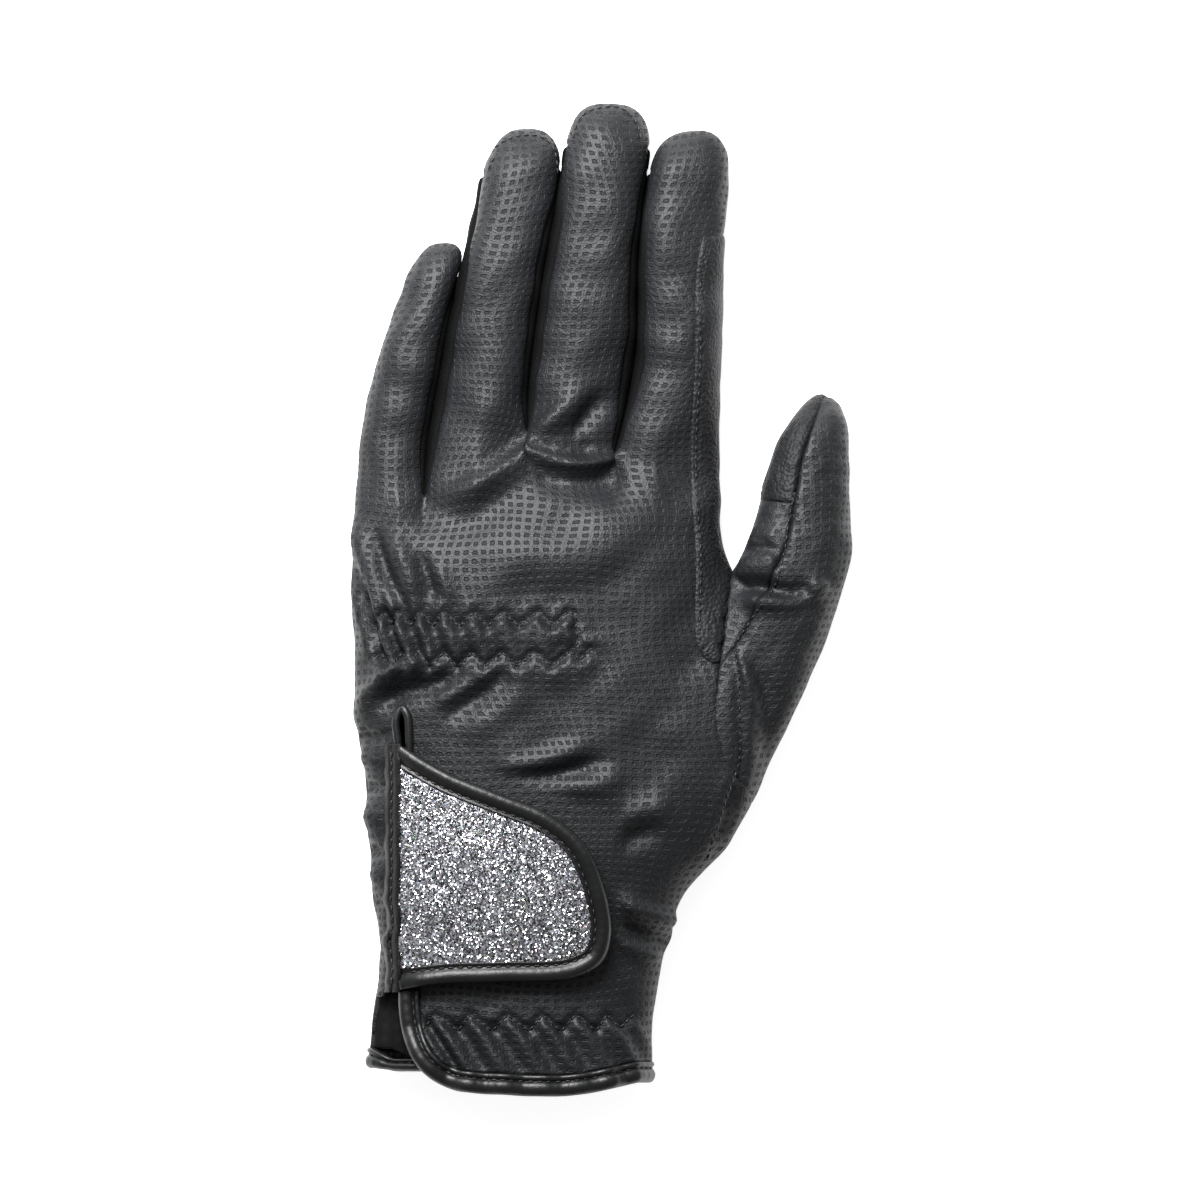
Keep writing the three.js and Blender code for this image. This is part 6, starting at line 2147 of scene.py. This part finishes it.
    def _layer(
        self, outline: Array, under: Surface, low: float, high: float
    ) -> tuple[Array, Array]:
        """A layer of the tab between two heights over the smooth back."""
        lows, highs = outline.min(axis=0) - 1, outline.max(axis=0) + 1
        xs = np.arange(lows[0], highs[0], 0.9)
        ys = np.arange(lows[1], highs[1], 0.9)
        flat = np.stack(np.meshgrid(xs, ys), axis=-1).reshape(-1, 2)
        grid = np.arange(len(flat)).reshape(len(ys), len(xs))
        corners = grid[:-1, :-1], grid[:-1, 1:], grid[1:, 1:], grid[1:, :-1]
        a, b, c, d = (corner.ravel() for corner in corners)
        triangles = np.concatenate([np.stack([a, b, c], axis=1), np.stack([a, c, d], axis=1)])
        upright = np.tile([0.0, 0.0, 1.0], (len(flat), 1))
        blank = Sheet(
            np.concatenate([flat, np.zeros((len(flat), 1))], axis=1), upright, flat,
            np.zeros(len(flat)), np.zeros(len(flat)), triangles,
        )
        sheet = blank.trimmed(inside_depth(outline, flat))
        on, normals = under.drop(sheet.points[:, :2])
        steep = np.maximum(STEEPEST, normals[:, 2])
        sheet.points = on.copy()
        sheet.points[:, 2] += high / steep
        points, faces, _ = sheet.solid((high - low) / steep)
        return points, faces

    def _flakes(self, outline: Array, under: Surface) -> Piece:
        """Loose flakes of film all over the glitter face, each at its own tilt."""
        rng = np.random.default_rng(7)
        lows, highs = outline.min(axis=0), outline.max(axis=0)
        flat = rng.uniform(lows, highs, (self.flake_count * 2, 2))
        flat = flat[inside_depth(outline, flat) > 0.1][:self.flake_count]
        n = len(flat)
        centres, ups = under.lifted(flat, self.flake_low + rng.uniform(0, 0.2, n))
        ups = unit(ups + rng.normal(0, 0.42, (n, 3)) * (1, 1, 0))
        across = unit(np.cross(ups, rng.normal(size=(n, 3))))
        other = np.cross(ups, across)
        turn = np.linspace(0, 2 * math.pi, 6, endpoint=False)
        size = self.flake_size / 2 * rng.uniform(0.75, 1.15, (n, 1, 1))
        points = centres[:, None] + size * (
            np.cos(turn)[None, :, None] * across[:, None]
            + np.sin(turn)[None, :, None] * other[:, None]
        )
        fan = np.array([(0, 1, 2), (0, 2, 3), (0, 3, 4), (0, 4, 5)])
        triangles = (np.arange(n)[:, None, None] * 6 + fan).reshape(-1, 3)
        # Each flake's colour is scaled at random from nearly black to full: painted glints and painted
        # dark flakes over the light its tilt really catches; the hues are its own tint
        flake_glint_and_shade = rng.choice([0.05, 0.18, 0.4, 0.7, 1.0], n, p=[0.18, 0.2, 0.22, 0.2, 0.2])
        hues = rng.uniform(0.5, 1.0, (n, 3))
        tints_and_glints = flake_glint_and_shade[:, None] * mix((0.94, 0.95, 1.0), hues, rng.random((n, 1)) ** 3)
        colours = np.concatenate([tints_and_glints, np.ones((n, 1))], axis=1)
        return Piece(
            "glitter_flakes", points.reshape(-1, 3), triangles, Finish.GLITTER_FLAKES,
            "glitter_fabric", tint_and_glint=np.repeat(colours, 6, axis=0), smooth=False,
        )

    def _anchor(self, edge: Array, under: Surface, stitcher: Stitcher) -> Piece:
        """The strip that the tab is sewn under, folded over its left end."""
        left = edge[0, 0]
        top, low = edge[0, 1], edge[-1, 1]
        ys = np.linspace(low - 0.6, top + 0.3, 110)
        section = np.array([
            (0.25, 2.0), (0.3, 3.3), (0.1, 3.8), (-0.3, 3.95), (-0.9, 3.8), (-1.5, 3.4),
            (-1.85, 2.9),
            (-2.05, 2.75), (-2.25, 2.8), (-2.7, 2.75), (-3.2, 2.2), (-3.6, 1.3), (-3.7, 0.7),
            (-3.2, 0.6),
            (-1.5, 0.6),
        ])
        rings = np.zeros((len(ys), len(section), 3))
        wave = 0.6 * ripple(ys[:, None], 13.0, 71) + 0.35 * ripple(ys[:, None], 6.0, 72)
        ends = rise(ys, ys[0], ys[0] + 4) * (1 - rise(ys, ys[-1] - 4, ys[-1]))
        for k, (out, height) in enumerate(section):
            shift = 0.6 * wave * np.clip(-out / 4, 0, 1)
            flat = np.stack([left + out + shift, ys], axis=1)
            swell = (0.3 * wave if height > 1.5 else 0) + height * mix(0.75, 1.0, ends)
            rings[:, k] = under.raised(flat, swell)
        points, triangles = tube_mesh(rings)
        line = np.stack([left - 2.05 + 0.3 * wave, ys], axis=1)[3:-3]
        on, ups = under.lifted(line, 2.8 + 0.3 * wave[3:-3])
        stitcher.sew(on, ups)
        return Piece(
            "tab_anchor_strip", points, triangles, Finish.SMOOTH, "binding_leather", ("tab_anchor",)
        )


@dataclass
class Seams:
    """Stitched lines that show on the leather itself."""

    shell: HandShell
    thumb: Thumb
    patch: IndexPatch
    thumb_line: tuple = (
        (61.7, 143.4), (60.7, 138.5), (60.0, 132.5), (58.6, 126.5), (56.9, 121.7), (53.8, 117.6),
        (50.4, 112.6), (46.8, 107.3),
    )
    ring_tip: tuple = (
        (-14.2, 223.0), (-13.0, 225.8), (-11.3, 227.4), (-8.9, 229.3), (-6.0, 230.5), (-2.4, 230.9),
        (0.5, 230.4), (2.5, 228.9), (3.7, 226.2), (4.2, 221.3),
    )
    middle_tip: tuple = (
        (7.9, 229.7), (8.4, 232.3), (9.6, 234.9), (11.6, 236.6), (14.8, 237.5), (18.9, 237.6),
        (21.5, 236.0), (23.3, 233.5), (24.2, 229.7),
    )

    def sew(self, back: Surface, thumb: Surface, patch: Surface, stitcher: Stitcher) -> None:
        """Lays all of them.

        Args:
            back: The creased back.
            thumb: The creased thumb.
            patch: The index reinforcement's surface.
            stitcher: Takes the stitches.
        """
        for zigzag in (UPPER_ZIGZAG, LOWER_ZIGZAG, CUFF_ZIGZAG):
            for a, b in zip(zigzag[:-1], zigzag[1:]):
                self._line(np.array([a, b]), back, stitcher, 1.5, 1.9)
        for tip in (self.ring_tip, self.middle_tip):
            self._line(smooth_path(tip, 40), back, stitcher, 1.4, 2.0)
        root = smooth_path(ROOT_SEAM, 60)
        on_hand, hand_normals = back.drop(root)
        on_thumb, thumb_normals = thumb.drop(root)
        top = (on_thumb[:, 2] > on_hand[:, 2])[:, None]
        normals = np.where(top, thumb_normals, hand_normals)
        stitcher.sew(np.where(top, on_thumb, on_hand) + normals * 0.08, normals, 1.3, 2.0)
        beside = smooth_path(self.thumb_line, 60) + np.array([-1.0, 0.0])
        self._line(beside, thumb, stitcher, 1.4, 2.1)
        left = self.patch.outline()
        middle = smooth_path(left, 120)
        way = ways_along(middle)
        inner = middle + np.stack([-way[:, 1], way[:, 0]], axis=1) * 1.2
        self._line(inner[12:-3], patch, stitcher, 1.5, 2.2)

    def _line(
        self, places: Array, on: Surface, stitcher: Stitcher, length: float, pitch: float
    ) -> None:
        """One stitched line through flat places on a surface."""
        fine = even_path(places, max(2, int(lengths_along(places)[-1] / 0.5)))
        points, normals = on.drop(fine)
        stitcher.sew(points + normals * 0.08, normals, length, pitch)


# Stage


@dataclass(frozen=True)
class SoftLight:
    """A square studio light that shines at the glove."""

    name: str
    place: tuple[float, float, float]
    size: float
    energy: float

    def build(self) -> None:
        """Makes the light."""
        data = bpy.data.lights.new(self.name, "AREA")
        data.size = self.size
        data.energy = self.energy
        lamp = bpy.data.objects.new(self.name, data)
        lamp.location = self.place
        lamp.rotation_euler = (-Vector(self.place)).to_track_quat("-Z", "Y").to_euler()
        bpy.context.scene.collection.objects.link(lamp)


@dataclass(frozen=True)
class Studio:
    """A white table under soft lights, with the camera straight above."""

    view_width: float = 0.288
    centre: tuple[float, float] = (-0.00021, 0.00027)
    fill: float = 0.29
    table_glow: float = 0.8
    lights: tuple[SoftLight, ...] = (
        SoftLight("key_beyond_fingertips", (-0.13, 0.3, 0.34), 0.28, 7.6),
        SoftLight("soft_overhead", (-0.1, 0.85, 1.25), 1.4, 3.8),
    )

    def build(self) -> None:
        """Makes floor, lights and camera."""
        bpy.ops.mesh.primitive_plane_add(size=6.0, location=(0, 0, -0.0002))
        floor = bpy.context.object
        floor.name = "table_top"
        bpy.ops.object.transform_apply(location=True, rotation=True, scale=True)
        material, _, shader = new_material("white_table")
        shader.inputs["Base Color"].default_value = linear("#fafafa")
        shader.inputs["Roughness"].default_value = 0.9
        # The table is lit from within, as a light table is, so shadows stay faint
        shader.inputs["Emission Color"].default_value = (1, 1, 1, 1)
        shader.inputs["Emission Strength"].default_value = self.table_glow
        floor.data.materials.append(material)
        world = bpy.context.scene.world or bpy.data.worlds.new("studio")
        bpy.context.scene.world = world
        world.use_nodes = True
        back = world.node_tree.nodes["Background"]
        back.inputs["Color"].default_value = (1, 1, 1, 1)
        back.inputs["Strength"].default_value = self.fill
        for light in self.lights:
            light.build()
        data = bpy.data.cameras.new("camera")
        data.type = "ORTHO"
        data.ortho_scale = self.view_width
        data.clip_start, data.clip_end = 0.01, 5.0
        camera = bpy.data.objects.new("camera", data)
        camera.location = (*self.centre, 0.7)
        bpy.context.scene.collection.objects.link(camera)
        bpy.context.scene.camera = camera
        # Plain display tones, so the white table stays white and the black leather black
        bpy.context.scene.view_settings.view_transform = "Standard"


def main() -> None:
    """Builds the glove's sub-assemblies in order and sets the stage."""
    logging.basicConfig(level=logging.INFO, format="%(name)s: %(message)s")
    bpy.ops.object.select_all(action="DESELECT")
    wardrobe = Wardrobe()
    stitcher = Stitcher()
    hand_form = HandForm()
    thumb_form = ThumbForm(hand_form)
    shell = HandShell(hand_form, thumb_form)
    shell.shape()
    thumb = Thumb(thumb_form, hand_form)
    thumb.shape()
    back = Surface(shell.skin.points, shell.skin.triangles)
    smooth = Surface(shell.skin.smooth, shell.skin.triangles)
    thumb_surface = Surface(thumb.skin.points, thumb.skin.triangles)
    vent = Vent(shell)
    patch = IndexPatch(shell)
    patch_piece = patch.piece()
    pieces = shell.pieces(vent.outline())
    pieces += thumb.pieces()
    pieces.append(patch_piece)
    pieces += vent.pieces(back)
    pieces += ClosureTab(hand_form).pieces(smooth, stitcher)
    pieces.append(stitcher.piece("tab_stitches"))
    pieces += HemBindings(shell, vent).pieces(back, stitcher)
    pieces.append(stitcher.piece("hem_stitches"))
    patch_surface = Surface(patch_piece.points, patch_piece.triangles)
    Seams(shell, thumb, patch).sew(back, thumb_surface, patch_surface, stitcher)
    pieces.append(stitcher.piece("leather_stitches"))
    for piece in pieces:
        piece.place(wardrobe)
    LOG.info("%d triangles in all", sum(len(piece.triangles) for piece in pieces))
    Studio().build()


if __name__ == "__main__":
    main()
